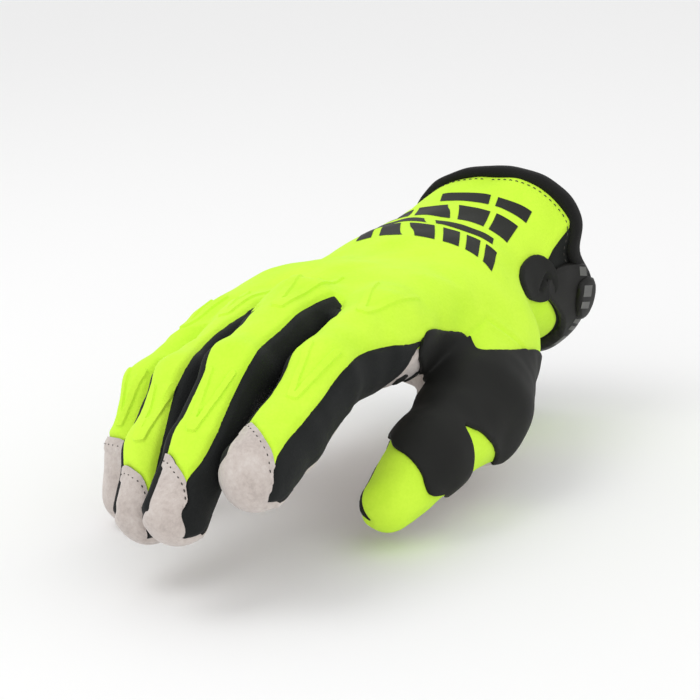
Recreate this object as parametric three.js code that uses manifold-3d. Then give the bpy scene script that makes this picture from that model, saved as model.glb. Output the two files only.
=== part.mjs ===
// Motocross glove for the right hand, in its worn form.
// Millimetres. The origin is the centre of the cuff opening, the fingers run towards -Y,
// the back of the hand faces +Z and the thumb is on the +X side.
import * as THREE from 'three';
import { mergeVertices } from 'three/addons/utils/BufferGeometryUtils.js';
import Module from 'manifold-3d';

const wasm = await Module();
wasm.setup();

// Hand of the glove
const palmLength = 136; // cuff opening to the middle knuckle
const palmWidth = 94;
const palmDepth = 37.5;
const wristWidth = 70;
const wristDepth = 50;
const cuffWidth = 80;
const cuffDepth = 64;

// Fingers, knuckle to the start of the round end, and thickness at the knuckle
const indexLength = 88;
const indexThickness = 28.6;
const middleLength = 100;
const middleThickness = 29.2;
const ringLength = 93;
const ringThickness = 27.6;
const pinkyLength = 73;
const pinkyThickness = 24.4;
const thumbLength = 103;
const thumbThickness = 42;

// Cloth, leather and trim
const wall = 1.6;
const seamGap = 0.3;
const ribHeight = 1.1;
const ribWidth = 2;
const bindingWidth = 4.5;
const bindingProud = 1;
const patchThickness = 1.2;
const strapThickness = 1.8;
const strapWidth = 27;
const tabLength = 13;
const tabThickness = 3;
const gripHeight = 0.9;
const gripLength = 8;
const gripWidth = 5.5;

// Roundness of the drawn model
const bodySides = 22;
const fingerSides = 12;
const hollowBodySides = 20;
const hollowFingerSides = 9;
const sectorStep = 40; // degrees between the corners of a cutter's arc
const bodySquareness = 2.4;
const sectorReach = 1.35; // a cutter reaches this share of the radius
const notchReach = 1.5; // and the one that opens the patch's notch reaches this share
const weldTolerance = 1e-4;

const degrees = Math.PI / 180;
const yellow = { color: 0xcffa50, roughness: 0.75, metalness: 0 };
const black = { color: 0x2a2b26, roughness: 0.8, metalness: 0 };
const softBlack = { color: 0x242424, roughness: 0.6, metalness: 0 };
const suede = { color: 0xc9c0b5, roughness: 0.9, metalness: 0 };

// Sections of the hand. cuff, wrist and palm are shares of those named widths and depths, deep scales
// the depth, across, up and along are the centre's place as shares of palm width, depth and length,
// crown is the share of the depth above the centre and tilt lowers the little-finger side, in degrees.
const handSections = [
  { along: 0, cuff: 1, wrist: 0, palm: 0, deep: 1, across: 0, up: 0, crown: 0.5, tilt: 0 },
  {
    along: 0.16, cuff: 0.3, wrist: 0.7, palm: 0, deep: 1.02,
    across: -0.032, up: -0.027, crown: 0.5, tilt: 0,
  },
  { along: 0.307, cuff: 0, wrist: 1, palm: 0, deep: 1, across: -0.043, up: -0.053, crown: 0.48, tilt: 0 },
  {
    along: 0.454, cuff: 0, wrist: 0.75, palm: 0.25, deep: 1.02,
    across: -0.043, up: -0.08, crown: 0.46, tilt: 1,
  },
  {
    along: 0.6, cuff: 0, wrist: 0.42, palm: 0.58, deep: 1.05,
    across: -0.064, up: -0.08, crown: 0.45, tilt: 2.5,
  },
  {
    along: 0.748, cuff: 0, wrist: 0.12, palm: 0.88, deep: 1.08,
    across: -0.085, up: -0.093, crown: 0.45, tilt: 4,
  },
  { along: 0.895, cuff: 0, wrist: 0, palm: 1, deep: 1, across: -0.106, up: -0.107, crown: 0.47, tilt: 6.5 },
  {
    along: 0.98, cuff: 0, wrist: 0, palm: 0.98, deep: 0.82,
    across: -0.106, up: -0.12, crown: 0.46, tilt: 7,
  },
  {
    along: 1.02, cuff: 0, wrist: 0, palm: 0.92, deep: 0.5,
    across: -0.106, up: -0.12, crown: 0.46, tilt: 7,
  },
];
const knuckleSlant = 9; // degrees that the knuckle line falls back towards the little finger

// Fingers. across, along and up are the knuckle's place as shares of palm width, length and depth,
// turn and roll set the plane that the finger bends in, bends are at the knuckle and the two joints.
const fingers = {
  index: {
    across: 0.234, along: 0.943, up: -0.035, turn: 6.9, roll: 5.4, bends: [-1, 28, 8],
    bones: [0.51, 0.3, 0.19], length: indexLength, thickness: indexThickness,
  },
  middle: {
    across: -0.024, along: 0.996, up: 0.053, turn: 8.5, roll: 1.3, bends: [5, 25, 16],
    bones: [0.51, 0.31, 0.18], length: middleLength, thickness: middleThickness,
  },
  ring: {
    across: -0.274, along: 0.977, up: -0.069, turn: 7, roll: -5.4, bends: [5, 28, 15],
    bones: [0.505, 0.312, 0.183], length: ringLength, thickness: ringThickness,
  },
  pinky: {
    across: -0.481, along: 0.886, up: -0.176, turn: -10.7, roll: -1.6, bends: [19, 36, 15],
    bones: [0.507, 0.288, 0.205], length: pinkyLength, thickness: pinkyThickness,
  },
};

// Stations along a finger: girth is a share of the knuckle's radius and slim narrows it sideways.
const fingerStations = [
  { bone: 0, share: -0.5, girth: 0.8, slim: 0.95 },
  { bone: 0, share: 0, girth: 1, slim: 0.95 },
  { bone: 0, share: 0.42, girth: 0.95, slim: 0.88 },
  { bone: 0, share: 0.75, girth: 0.91, slim: 0.88 },
  { bone: 1, share: 0, girth: 0.88, slim: 0.9 },
  { bone: 2, share: 0, girth: 0.81, slim: 0.94 },
  { bone: 2, share: 1, girth: 0.755, slim: 1 },
];

// The thumb's bones point by a turn towards +X and a dip, in degrees.
const thumb = {
  across: 0.202, along: 0.457, up: -0.472, facing: 48.6, turns: [29, 9.5, -4.2], dips: [16.2, 9.3, 19.9],
  bones: [0.427, 0.359, 0.214], length: thumbLength, thickness: thumbThickness,
};
const thumbStations = [
  { bone: 0, share: -0.12, girth: 0.84, slim: 1 },
  { bone: 0, share: 0.4, girth: 0.96, slim: 1 },
  { bone: 1, share: 0, girth: 0.88, slim: 1 },
  { bone: 1, share: 0.5, girth: 0.77, slim: 1 },
  { bone: 2, share: 0, girth: 0.648, slim: 1 },
  { bone: 2, share: 1, girth: 0.533, slim: 1 },
];
const tipAngles = [36, 66];

// Solids from rings of points, and back to geometry

function solidFromRings(rings) {
  const sides = rings[0].length;
  const positions = [];
  const addCap = (ring, flip) => {
    const middle = new THREE.Vector3();
    ring.forEach((point) => middle.addScaledVector(point, 1 / sides));
    const centre = ring.centre ?? middle;
    for (let i = 0; i < sides; i += 1) {
      const next = ring[(i + 1) % sides];
      const pair = flip ? [next, ring[i]] : [ring[i], next];
      positions.push(...centre.toArray(), ...pair[0].toArray(), ...pair[1].toArray());
    }
  };
  addCap(rings[0], false);
  addCap(rings[rings.length - 1], true);
  for (let k = 0; k + 1 < rings.length; k += 1) {
    for (let i = 0; i < sides; i += 1) {
      const j = (i + 1) % sides;
      const corners = [rings[k][i], rings[k + 1][i], rings[k + 1][j], rings[k][j]];
      for (const c of [0, 1, 2, 0, 2, 3]) {
        positions.push(...corners[c].toArray());
      }
    }
  }
  const geometry = new THREE.BufferGeometry();
  geometry.setAttribute('position', new THREE.Float32BufferAttribute(positions, 3));
  return solidFromGeometry(geometry);
}

function solidFromGeometry(source) {
  const bare = source.clone();
  bare.deleteAttribute('normal');
  bare.deleteAttribute('uv');
  const merged = mergeVertices(bare, weldTolerance);
  const vertProperties = new Float32Array(merged.attributes.position.array);
  const triVerts = new Uint32Array(merged.index.array);
  if (signedVolume(vertProperties, triVerts) < 0) {
    for (let t = 0; t < triVerts.length; t += 3) {
      [triVerts[t], triVerts[t + 1]] = [triVerts[t + 1], triVerts[t]];
    }
  }
  return new wasm.Manifold(new wasm.Mesh({ numProp: 3, vertProperties, triVerts }));
}

function signedVolume(vertices, triangles) {
  const corner = [new THREE.Vector3(), new THREE.Vector3(), new THREE.Vector3()];
  let volume = 0;
  for (let t = 0; t < triangles.length; t += 3) {
    corner.forEach((point, c) => point.fromArray(vertices, triangles[t + c] * 3));
    volume += corner[0].dot(corner[1].clone().cross(corner[2])) / 6;
  }
  return volume;
}

function geometryFromSolid(solid) {
  const mesh = solid.getMesh();
  const geometry = new THREE.BufferGeometry();
  geometry.setAttribute('position', new THREE.BufferAttribute(mesh.vertProperties, 3));
  geometry.setIndex(new THREE.BufferAttribute(mesh.triVerts, 1));
  geometry.computeVertexNormals();
  return geometry;
}

// The largest closed body of a geometry, without the crumbs that crossing seams leave

function mainBody(geometry) {
  const index = geometry.index.array;
  const leader = Array.from({ length: index.length / 3 }, (_, t) => t);
  const find = (triangle) => {
    let top = triangle;
    while (leader[top] !== top) {
      leader[top] = leader[leader[top]];
      top = leader[top];
    }
    return top;
  };
  const edgeOwner = new Map();
  leader.forEach((_, t) => {
    for (const [a, b] of [[0, 1], [1, 2], [2, 0]]) {
      const ends = [index[3 * t + a], index[3 * t + b]].sort((p, q) => p - q).join();
      if (edgeOwner.has(ends)) {
        leader[find(t)] = find(edgeOwner.get(ends));
      }
      edgeOwner.set(ends, t);
    }
  });
  const bodies = new Map();
  leader.forEach((_, t) => {
    const top = find(t);
    const corners = bodies.get(top) ?? [];
    corners.push(index[3 * t], index[3 * t + 1], index[3 * t + 2]);
    bodies.set(top, corners);
  });
  const vertices = geometry.attributes.position.array;
  const bySize = (a, b) => signedVolume(vertices, b) - signedVolume(vertices, a);
  const kept = geometry.clone();
  kept.setIndex([...bodies.values()].sort(bySize)[0]);
  kept.deleteAttribute('normal');
  const body = mergeVertices(kept.toNonIndexed(), weldTolerance);
  body.computeVertexNormals();
  return body;
}

function joined(solids) {
  return solids.reduce((whole, next) => whole.add(next));
}

function prism(outline, depth) {
  const shape = new THREE.Shape(outline.map(([x, y]) => new THREE.Vector2(x, y)));
  return new THREE.ExtrudeGeometry(shape, { depth, bevelEnabled: false, curveSegments: 1 });
}

// The hand's section at a share of its length, with its four shape values

function handSection(along) {
  const rows = handSections;
  const last = rows.length - 1;
  let k = 0;
  while (k < last - 1 && along > rows[k + 1].along) {
    k += 1;
  }
  const share = (along - rows[k].along) / (rows[k + 1].along - rows[k].along);
  const at = (name) => THREE.MathUtils.lerp(rows[k][name], rows[k + 1][name], share);
  const width = at('cuff') * cuffWidth + at('wrist') * wristWidth + at('palm') * palmWidth;
  const depth = (at('cuff') * cuffDepth + at('wrist') * wristDepth + at('palm') * palmDepth) * at('deep');
  return {
    centre: new THREE.Vector3(at('across') * palmWidth, -along * palmLength, at('up') * palmDepth),
    half: width / 2,
    rise: depth * at('crown'),
    fall: depth * (1 - at('crown')),
    tilt: at('tilt') * degrees,
    slant: Math.tan(knuckleSlant * degrees) * THREE.MathUtils.clamp(2 * along - 1, 0, 1),
  };
}

// A point of the hand's section, turn in degrees from the back of the hand towards the thumb.

function handPoint(section, turn, grow, reach = 1) {
  const soft = (value) => Math.sign(value) * Math.abs(value) ** (2 / bodySquareness);
  const side = soft(Math.sin(turn * degrees)) * (section.half + grow) * reach;
  const lift = soft(Math.cos(turn * degrees));
  const height = lift * ((lift > 0 ? section.rise : section.fall) + grow) * reach;
  const x = side * Math.cos(section.tilt) - height * Math.sin(section.tilt);
  const z = side * Math.sin(section.tilt) + height * Math.cos(section.tilt);
  return section.centre.clone().add(new THREE.Vector3(x, -side * section.slant, z));
}

function handLoft(alongs, grow, sides = bodySides) {
  const rings = alongs.map((along) => {
    const section = handSection(along);
    const ring = [];
    for (let i = 0; i < sides; i += 1) {
      ring.push(handPoint(section, (360 * i) / sides, grow));
    }
    return ring;
  });
  return solidFromRings(rings);
}

// How far the first and last row of a cutter move out when it grows

function endShift(k, count, grow) {
  if (k === 0) {
    return -grow;
  }
  return k === count - 1 ? grow : 0;
}

// A cutter shaped as a slice of the hand: rows hold along, from and to, in degrees.

function handSlice(rows, grow) {
  const steps = Math.ceil((rows[0].to - rows[0].from) / sectorStep);
  const margin = (section) => grow / Math.min(section.half, section.rise) / degrees;
  const rings = rows.map((row, k) => {
    const shift = endShift(k, rows.length, grow);
    const section = handSection(row.along + shift / palmLength);
    const from = row.from - margin(section);
    const to = row.to + margin(section);
    const ring = [section.centre.clone()];
    for (let i = 0; i <= steps; i += 1) {
      ring.push(handPoint(section, from + ((to - from) * i) / steps, 0, sectorReach));
    }
    ring.centre = section.centre.clone();
    return ring;
  });
  return solidFromRings(rings);
}

// Fingers and thumb: joints, then stations with a centre, a facing and two radii

function knucklePoint(digit) {
  return new THREE.Vector3(digit.across * palmWidth, -digit.along * palmLength, digit.up * palmDepth);
}

function fingerBones(finger) {
  const plane = new THREE.Euler(0, finger.roll * degrees, finger.turn * degrees, 'ZYX');
  let bend = 0;
  return finger.bones.map((share, k) => {
    bend += finger.bends[k] * degrees;
    return {
      length: share * finger.length,
      ahead: new THREE.Vector3(0, -Math.cos(bend), -Math.sin(bend)).applyEuler(plane),
      facing: new THREE.Vector3(0, -Math.sin(bend), Math.cos(bend)).applyEuler(plane),
    };
  });
}

function thumbBones(digit) {
  const out = new THREE.Vector3(Math.sin(digit.facing * degrees), 0, Math.cos(digit.facing * degrees));
  return digit.bones.map((share, k) => {
    const turn = digit.turns[k] * degrees;
    const dip = digit.dips[k] * degrees;
    const level = Math.cos(dip);
    const ahead = new THREE.Vector3(Math.sin(turn) * level, -Math.cos(turn) * level, -Math.sin(dip));
    const facing = out.clone().addScaledVector(ahead, -out.dot(ahead)).normalize();
    return { length: share * digit.length, ahead, facing };
  });
}

function digitStations(digit, bones, table) {
  const joints = [knucklePoint(digit)];
  bones.forEach((bone, k) => joints.push(joints[k].clone().addScaledVector(bone.ahead, bone.length)));
  const radius = digit.thickness / 2;
  const reachOf = (k) => bones.slice(0, k).reduce((sum, before) => sum + before.length, 0);
  const stations = table.map((row) => {
    const bone = bones[row.bone];
    const before = row.share === 0 && row.bone > 0 ? bones[row.bone - 1] : bone;
    return {
      centre: joints[row.bone].clone().addScaledVector(bone.ahead, row.share * bone.length),
      ahead: bone.ahead.clone().add(before.ahead).normalize(),
      facing: bone.facing.clone().add(before.facing).normalize(),
      reach: reachOf(row.bone) + row.share * bone.length,
      radius: row.girth * radius,
      slim: row.slim,
    };
  });
  const end = stations[stations.length - 1];
  for (const angle of tipAngles) {
    const forward = Math.sin(angle * degrees) * end.radius;
    stations.push({
      ...end,
      centre: end.centre.clone().addScaledVector(end.ahead, forward),
      reach: end.reach + forward,
      round: Math.cos(angle * degrees),
      forward: Math.sin(angle * degrees),
    });
  }
  return stations;
}

// A point round a station, angle in degrees from the back towards the thumb side.

function digitPoint(station, angle, grow, reach = 1) {
  const side = station.facing.clone().cross(station.ahead);
  const round = station.round ?? 1;
  const radius = (station.radius + grow) * round * reach;
  const sideways = (station.radius * station.slim + grow) * round * reach;
  return station.centre.clone()
    .addScaledVector(station.ahead, (station.forward ?? 0) * grow)
    .addScaledVector(station.facing, radius * Math.cos(angle * degrees))
    .addScaledVector(side, sideways * Math.sin(angle * degrees));
}

function digitLoft(stations, grow, sides = fingerSides) {
  const rings = stations.map((station) => {
    const ring = [];
    for (let i = 0; i < sides; i += 1) {
      ring.push(digitPoint(station, (360 * (i + 0.5)) / sides, grow));
    }
    return ring;
  });
  return solidFromRings(rings);
}

function stationAt(stations, reach) {
  const full = stations.filter((station) => !station.round);
  const last = full.length - 1;
  let k = 0;
  while (k < last - 1 && reach > full[k + 1].reach) {
    k += 1;
  }
  const [before, after] = [full[k], full[k + 1]];
  const share = (reach - before.reach) / (after.reach - before.reach);
  const held = THREE.MathUtils.clamp(share, 0, 1);
  return {
    centre: before.centre.clone().lerp(after.centre, share),
    ahead: before.ahead.clone().lerp(after.ahead, held).normalize(),
    facing: before.facing.clone().lerp(after.facing, held).normalize(),
    radius: THREE.MathUtils.lerp(before.radius, after.radius, held),
    slim: before.slim,
  };
}

// A cutter shaped as a slice of a digit: rows hold reach as a share of its length, from and to.

function digitSlice(digit, rows, grow, reach = sectorReach) {
  const widest = Math.max(...rows.map((row) => row.to - row.from));
  const steps = Math.max(2, Math.ceil(widest / sectorStep));
  const rings = rows.map((row, k) => {
    const shift = endShift(k, rows.length, grow);
    const station = stationAt(digit.stations, row.reach * digit.length + shift);
    const margin = grow / (station.radius * station.slim) / degrees;
    const full = row.to - row.from >= 360;
    const from = row.from - (full ? 0 : margin);
    const to = row.to + (full ? 0 : margin);
    const ring = [];
    if (!full) {
      ring.push(station.centre.clone());
    }
    for (let i = 0; i <= steps - (full ? 1 : 0); i += 1) {
      ring.push(digitPoint(station, from + ((to - from) * i) / steps, 0, reach));
    }
    ring.centre = station.centre.clone();
    return ring;
  });
  return solidFromRings(rings);
}

for (const finger of Object.values(fingers)) {
  finger.stations = digitStations(finger, fingerBones(finger), fingerStations);
}
thumb.stations = digitStations(thumb, thumbBones(thumb), thumbStations);
const digits = [...Object.values(fingers), thumb];

// Outer form, hollow and the wall between them

const handAlongs = handSections.map((row) => row.along);
const mouthAlong = (bindingWidth + seamGap) / palmLength;
const wallAlongs = [mouthAlong, ...handAlongs.slice(1)];

function outerForm(grow) {
  return joined([handLoft(wallAlongs, grow), ...digits.map((digit) => digitLoft(digit.stations, grow))]);
}

function hollowForm() {
  const past = -bindingWidth / palmLength;
  const end = handAlongs[handAlongs.length - 1] - wall / palmLength;
  const alongs = [past, ...handAlongs.slice(0, -1), end];
  const fingersInside = digits.map((digit) => digitLoft(digit.stations, -wall, hollowFingerSides));
  return joined([handLoft(alongs, -wall, hollowBodySides), ...fingersInside]);
}

const outer = outerForm(0);
const hollow = hollowForm();
const shell = outer.subtract(hollow);

// Seams. Angles are from the back of a digit towards the thumb side, reach is a share of its length.

const thumbSideSeams = {
  index: [
    { reach: 0.03, from: 82, to: 122 },
    { reach: 0.3, from: 60, to: 130 },
    { reach: 0.65, from: 55, to: 125 },
    { reach: 0.98, from: 40, to: 106 },
    { reach: 1.06, from: 58, to: 90 },
  ],
  middle: [
    { reach: 0.06, from: 27, to: 125 },
    { reach: 0.5, from: 31, to: 125 },
    { reach: 0.82, from: 39, to: 120 },
    { reach: 0.96, from: 29, to: 108 },
    { reach: 1.06, from: 48, to: 80 },
  ],
  ring: [
    { reach: 0.06, from: 21, to: 125 },
    { reach: 0.5, from: 26, to: 125 },
    { reach: 0.78, from: 33, to: 120 },
    { reach: 0.95, from: 28, to: 110 },
    { reach: 1.06, from: 48, to: 80 },
  ],
  pinky: [
    { reach: 0.1, from: 35, to: 125 },
    { reach: 0.5, from: 38, to: 125 },
    { reach: 0.9, from: 38, to: 112 },
    { reach: 1.06, from: 52, to: 84 },
  ],
};
const farSideSeam = [
  { reach: 0.08, from: -125, to: -46 },
  { reach: 0.5, from: -125, to: -48 },
  { reach: 0.96, from: -108, to: -54 },
  { reach: 1.06, from: -90, to: -70 },
];

// Webs between two fingers, along is a share of palm length and open the width between the seams.

const webs = [
  {
    name: 'gusset_index_middle', near: 'index', far: 'middle', nearSeam: -46, farSeam: 27,
    rows: [
      { along: 0.925, open: 0.5 },
      { along: 0.955, open: 1 },
      { along: 1.03, open: 1 },
      { along: 1.13, open: 1 },
    ],
  },
  {
    name: 'gusset_middle_ring', near: 'middle', far: 'ring', nearSeam: -46, farSeam: 23,
    rows: [
      { along: 0.95, open: 0.2 },
      { along: 1, open: 0.8 },
      { along: 1.05, open: 1 },
      { along: 1.14, open: 1 },
    ],
  },
  {
    name: 'gusset_ring_pinky', near: 'ring', far: 'pinky', nearSeam: -46, farSeam: 35,
    rows: [
      { along: 0.96, open: 0.2 },
      { along: 1, open: 0.8 },
      { along: 1.05, open: 1 },
      { along: 1.1, open: 1 },
    ],
  },
];
const webLift = 0.8; // share of the knuckle's radius that a web's cutter stands over the seams
const webSink = 0.55; // and that it reaches below the finger's middle
const webInset = 0.8; // and where its sides are pinched in

function reachAt(digit, along) {
  const bone = digit.stations[1];
  return (along * palmLength + bone.centre.y) / -bone.ahead.y;
}

function webCutter(web, grow) {
  const near = fingers[web.near];
  const far = fingers[web.far];
  const rings = web.rows.map((row, k) => {
    const shift = endShift(k, web.rows.length, grow);
    const sides = [[near, web.nearSeam, -1], [far, web.farSeam, 1]].map(([digit, seam, sign]) => {
      const station = stationAt(digit.stations, reachAt(digit, row.along) + shift);
      const margin = (sign * grow) / station.radius / degrees;
      const seamPoint = digitPoint(station, seam - margin, 0);
      return {
        high: seamPoint.addScaledVector(station.facing, webLift * station.radius),
        inset: digitPoint(station, seam - margin, 0, webInset),
        low: station.centre.clone().addScaledVector(station.facing, -webSink * station.radius - grow),
      };
    });
    const towards = (from, to) => from.clone().lerp(to, (1 - row.open) / 2);
    return [
      towards(sides[0].high, sides[1].high),
      towards(sides[0].inset, sides[1].inset),
      sides[0].low,
      sides[1].low,
      towards(sides[1].inset, sides[0].inset),
      towards(sides[1].high, sides[0].high),
    ];
  });
  return solidFromRings(rings);
}

// Cutters keep to their own digit

function digitSkin(digit, grow) {
  return digitLoft(digit.stations, seamGap / 2 + grow);
}

function ownSlice(digit, rows, grow) {
  return digitSlice(digit, rows, grow).intersect(digitSkin(digit, grow));
}

function gussetCutter(web, grow) {
  const near = ownSlice(fingers[web.near], farSideSeam, grow);
  const far = ownSlice(fingers[web.far], thumbSideSeams[web.far], grow);
  return joined([near, far, webCutter(web, grow)]);
}

const tipReach = 1.2;

// Leather under each finger, and its cap: the rows give how far round the back the cap has come.

const capEdges = {
  index: [{ reach: 0.84, from: 90, to: 270 }, { reach: 0.86, from: 90, to: 326 },
    { reach: 0.92, from: 90, to: 365 }, { reach: 0.99, from: 90, to: 399 }],
  middle: [{ reach: 0.82, from: 90, to: 270 }, { reach: 0.85, from: 90, to: 330 },
    { reach: 0.9, from: 90, to: 360 }, { reach: 0.95, from: 90, to: 385 }],
  ring: [{ reach: 0.86, from: 90, to: 270 }, { reach: 0.9, from: 90, to: 330 },
    { reach: 0.93, from: 90, to: 372 }, { reach: 0.96, from: 90, to: 392 }],
  pinky: [{ reach: 0.76, from: 90, to: 270 }, { reach: 0.79, from: 90, to: 320 },
    { reach: 0.83, from: 90, to: 370 }, { reach: 0.87, from: 90, to: 396 }],
};
const capOverlap = 0.006; // share of a finger's length
const palmSeam = { thumbSide: 98, farSide: 262, alongs: [0.33, 0.6, 0.9, 1.03] };
const fingerUnderside = [
  { reach: 0, from: 90, to: 270 },
  { reach: 0.5, from: 90, to: 270 },
  { reach: 0.9, from: 90, to: 270 },
];
const thumbRoot = [
  { reach: -0.2, from: 60, to: 262 },
  { reach: 0.3, from: 60, to: 262 },
];

function fullSlice(digit, start, end, grow) {
  const rows = [{ reach: start - grow / digit.length, from: 0, to: 360 }, { reach: end, from: 0, to: 360 }];
  return digitSlice(digit, rows, 0).intersect(digitSkin(digit, grow));
}

function palmCutter(grow) {
  const { thumbSide, farSide } = palmSeam;
  const hand = handSlice(palmSeam.alongs.map((along) => ({ along, from: thumbSide, to: farSide })), grow);
  const parts = [hand, ownSlice(thumb, thumbRoot, grow)];
  for (const [name, finger] of Object.entries(fingers)) {
    const edge = capEdges[name];
    parts.push(ownSlice(finger, fingerUnderside, grow));
    const eased = edge.map((row) => ({ ...row, reach: row.reach - grow / finger.length }));
    parts.push(ownSlice(finger, eased, grow));
    parts.push(fullSlice(finger, edge[edge.length - 1].reach - capOverlap, tipReach, grow));
  }
  return joined(parts);
}

// Thumb: each strip runs between two angles, past the reaches of its rows

const thumbReaches = [0.2, 0.35, 0.6, 0.8, 1.25];
const thumbStrips = {
  thumb_gusset: { from: -140, to: -105, reaches: [0.56, 0.6, 0.8, 1.1] },
  thumb_palm: { from: 100, to: 255, reaches: thumbReaches },
  thumb_back_panel: { from: -105, to: 100, reaches: thumbReaches },
};

function thumbCutter(name, grow) {
  const { from, to, reaches } = thumbStrips[name];
  return ownSlice(thumb, reaches.map((reach) => ({ reach, from, to })), grow);
}

// Wrist: along is a share of palm length

const wristPanelSeam = [
  { along: -0.05, from: 84, to: 276 },
  { along: 0.16, from: 84, to: 276 },
  { along: 0.325, from: 84, to: 276 },
];

// Things laid over the wall: a gap clear of it, and cut to their outline

function overlay(thickness, lift = seamGap) {
  return outerForm(lift + thickness).subtract(outerForm(lift));
}

// Prism along +X over an outline in Y and Z, given as shares of palm length and palm depth

function sidePrism(outline, from, to) {
  const geometry = prism(outline.map(([along, up]) => [-along * palmLength, up * palmDepth]), to - from);
  geometry.rotateX(Math.PI / 2);
  geometry.rotateZ(Math.PI / 2);
  geometry.translate(from, 0, 0);
  return solidFromGeometry(geometry);
}

// The thumb patch: its lobe and upper edge on the hand, then its slanted edge near the thumb's tip

const patchOutline = [
  [0.94, -0.4], [0.945, -0.08], [0.93, 0], [0.9, 0.055], [0.84, 0.055], [0.79, -0.02], [0.735, -0.08],
  [0.71, -0.17], [0.68, -0.29], [0.63, -0.35], [0.5, -0.45], [0.41, -0.53], [0.41, -0.9], [0.7, -0.9],
];
const patchInner = 0.37; // share of palm width
const patchEdge = [
  { reach: 0.15, from: -70, to: 96 },
  { reach: 0.4, from: -100, to: 98 },
  { reach: 0.83, from: -102, to: 98 },
  { reach: 0.875, from: -77, to: 98 },
  { reach: 0.905, from: -41, to: 98 },
  { reach: 0.94, from: -4, to: 98 },
  { reach: 0.98, from: 28, to: 98 },
];
const patchNotch = [
  { reach: 0.585, from: 76, to: 110 },
  { reach: 0.66, from: 41, to: 110 },
  { reach: 0.7, from: 19, to: 110 },
  { reach: 0.73, from: 0, to: 110 },
  { reach: 0.757, from: 21, to: 110 },
  { reach: 0.78, from: 50, to: 110 },
  { reach: 0.795, from: 80, to: 110 },
];

function thumbPatch() {
  const onHand = sidePrism(patchOutline, patchInner * palmWidth, palmWidth);
  const skin = digitLoft(thumb.stations, seamGap + patchThickness);
  const onThumb = digitSlice(thumb, patchEdge, 0).intersect(skin);
  const notch = digitSlice(thumb, patchNotch, 0, notchReach);
  return overlay(patchThickness).intersect(onHand.add(onThumb)).subtract(notch);
}

// Wrist closure: a round lobe in the yellow, the strap under the wrist and the strap's standing end

const lobe = { along: 0.24, up: -0.03, radius: 10, corners: 20 };
const strapRun = { start: 0.045, from: 97, to: 236 };
const tabRun = { start: 0.05, from: 118, width: 0.8 }; // width is a share of the strap's

function lobePrism(grow) {
  const corners = [];
  for (let i = 0; i < lobe.corners; i += 1) {
    const turn = (2 * Math.PI * i) / lobe.corners;
    corners.push([
      lobe.along + ((lobe.radius + grow) * Math.cos(turn)) / palmLength,
      lobe.up + ((lobe.radius + grow) * Math.sin(turn)) / palmDepth,
    ]);
  }
  return sidePrism(corners, 0, palmWidth);
}

function wristLobe() {
  return overlay(patchThickness).intersect(lobePrism(0));
}

function strapSlice(start, width, from, to) {
  const rows = [start, start + width / palmLength].map((along) => ({ along, from, to }));
  return handSlice(rows, 0);
}

function wristStrap() {
  return overlay(strapThickness)
    .intersect(strapSlice(strapRun.start, strapWidth, strapRun.from, strapRun.to))
    .subtract(lobePrism(seamGap));
}

function strapTab() {
  const arc = tabLength / (cuffDepth / 2) / degrees;
  const slice = strapSlice(tabRun.start, strapWidth * tabRun.width, tabRun.from, tabRun.from + arc);
  return overlay(tabThickness, strapThickness + 2 * seamGap).intersect(slice);
}

function cuffBinding() {
  const alongs = [0, bindingWidth / palmLength];
  const core = [-bindingWidth / palmLength, (2 * bindingWidth) / palmLength];
  return handLoft(alongs, bindingProud).subtract(handLoft(core, -wall));
}

// Raised ribs: two bars that meet towards the fingertip

const ribs = [
  { finger: 'index', open: -0.1, point: 0.12, centre: 4, spread: 30 },
  { finger: 'index', open: 0.52, point: 0.73, centre: 8, spread: 20 },
  { finger: 'middle', open: -0.06, point: 0.13, centre: -8, spread: 20 },
  { finger: 'middle', open: 0.58, point: 0.78, centre: 0, spread: 20 },
  { finger: 'ring', open: -0.04, point: 0.14, centre: -10, spread: 18 },
  { finger: 'ring', open: 0.6, point: 0.81, centre: -3, spread: 20 },
  { finger: 'pinky', open: 0.02, point: 0.2, centre: -6, spread: 24 },
  { finger: 'pinky', open: 0.48, point: 0.7, centre: -6, spread: 20 },
];

const ribStagger = 0.006; // share of a finger's length by which the second bar starts and ends later

function ribBar(rib, side) {
  const finger = fingers[rib.finger];
  const half = ribWidth / finger.thickness / degrees;
  const later = side > 0 ? ribStagger : 0;
  const rows = [0, 1].map((share) => {
    const turn = rib.centre + side * (rib.spread * (1 - share) + half / 2);
    const reach = THREE.MathUtils.lerp(rib.open, rib.point, share) + later;
    return { reach, from: turn - half, to: turn + half };
  });
  return digitSlice(finger, rows, 0);
}

function allRibs() {
  const bars = joined(ribs.map((rib) => ribBar(rib, -1).add(ribBar(rib, 1))));
  return outerForm(ribHeight).subtract(hollow).intersect(bars);
}

// Dark grips on the leather of the web: along is a share of palm length, and a grip also keeps
// its distance ahead of the thumb's middle joint

const grips = [
  { name: 'web_grip_1', along: 0.88, ahead: 20.5, turn: 133 },
  { name: 'web_grip_2', along: 0.955, ahead: 30.7, turn: 130 },
];
const thumbJoint = stationAt(thumb.stations, thumb.bones[0] * thumb.length).centre;

function webGrip(grip) {
  const width = gripWidth / (palmDepth / 2) / degrees;
  const middle = Math.max(grip.along * palmLength, grip.ahead - thumbJoint.y);
  const rows = [middle - gripLength / 2, middle + gripLength / 2]
    .map((reach) => ({ along: reach / palmLength, from: grip.turn - width / 2, to: grip.turn + width / 2 }));
  return overlay(gripHeight).intersect(handSlice(rows, 0));
}

// Cut the wall into its panels, each a seam gap clear of those before it

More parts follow.
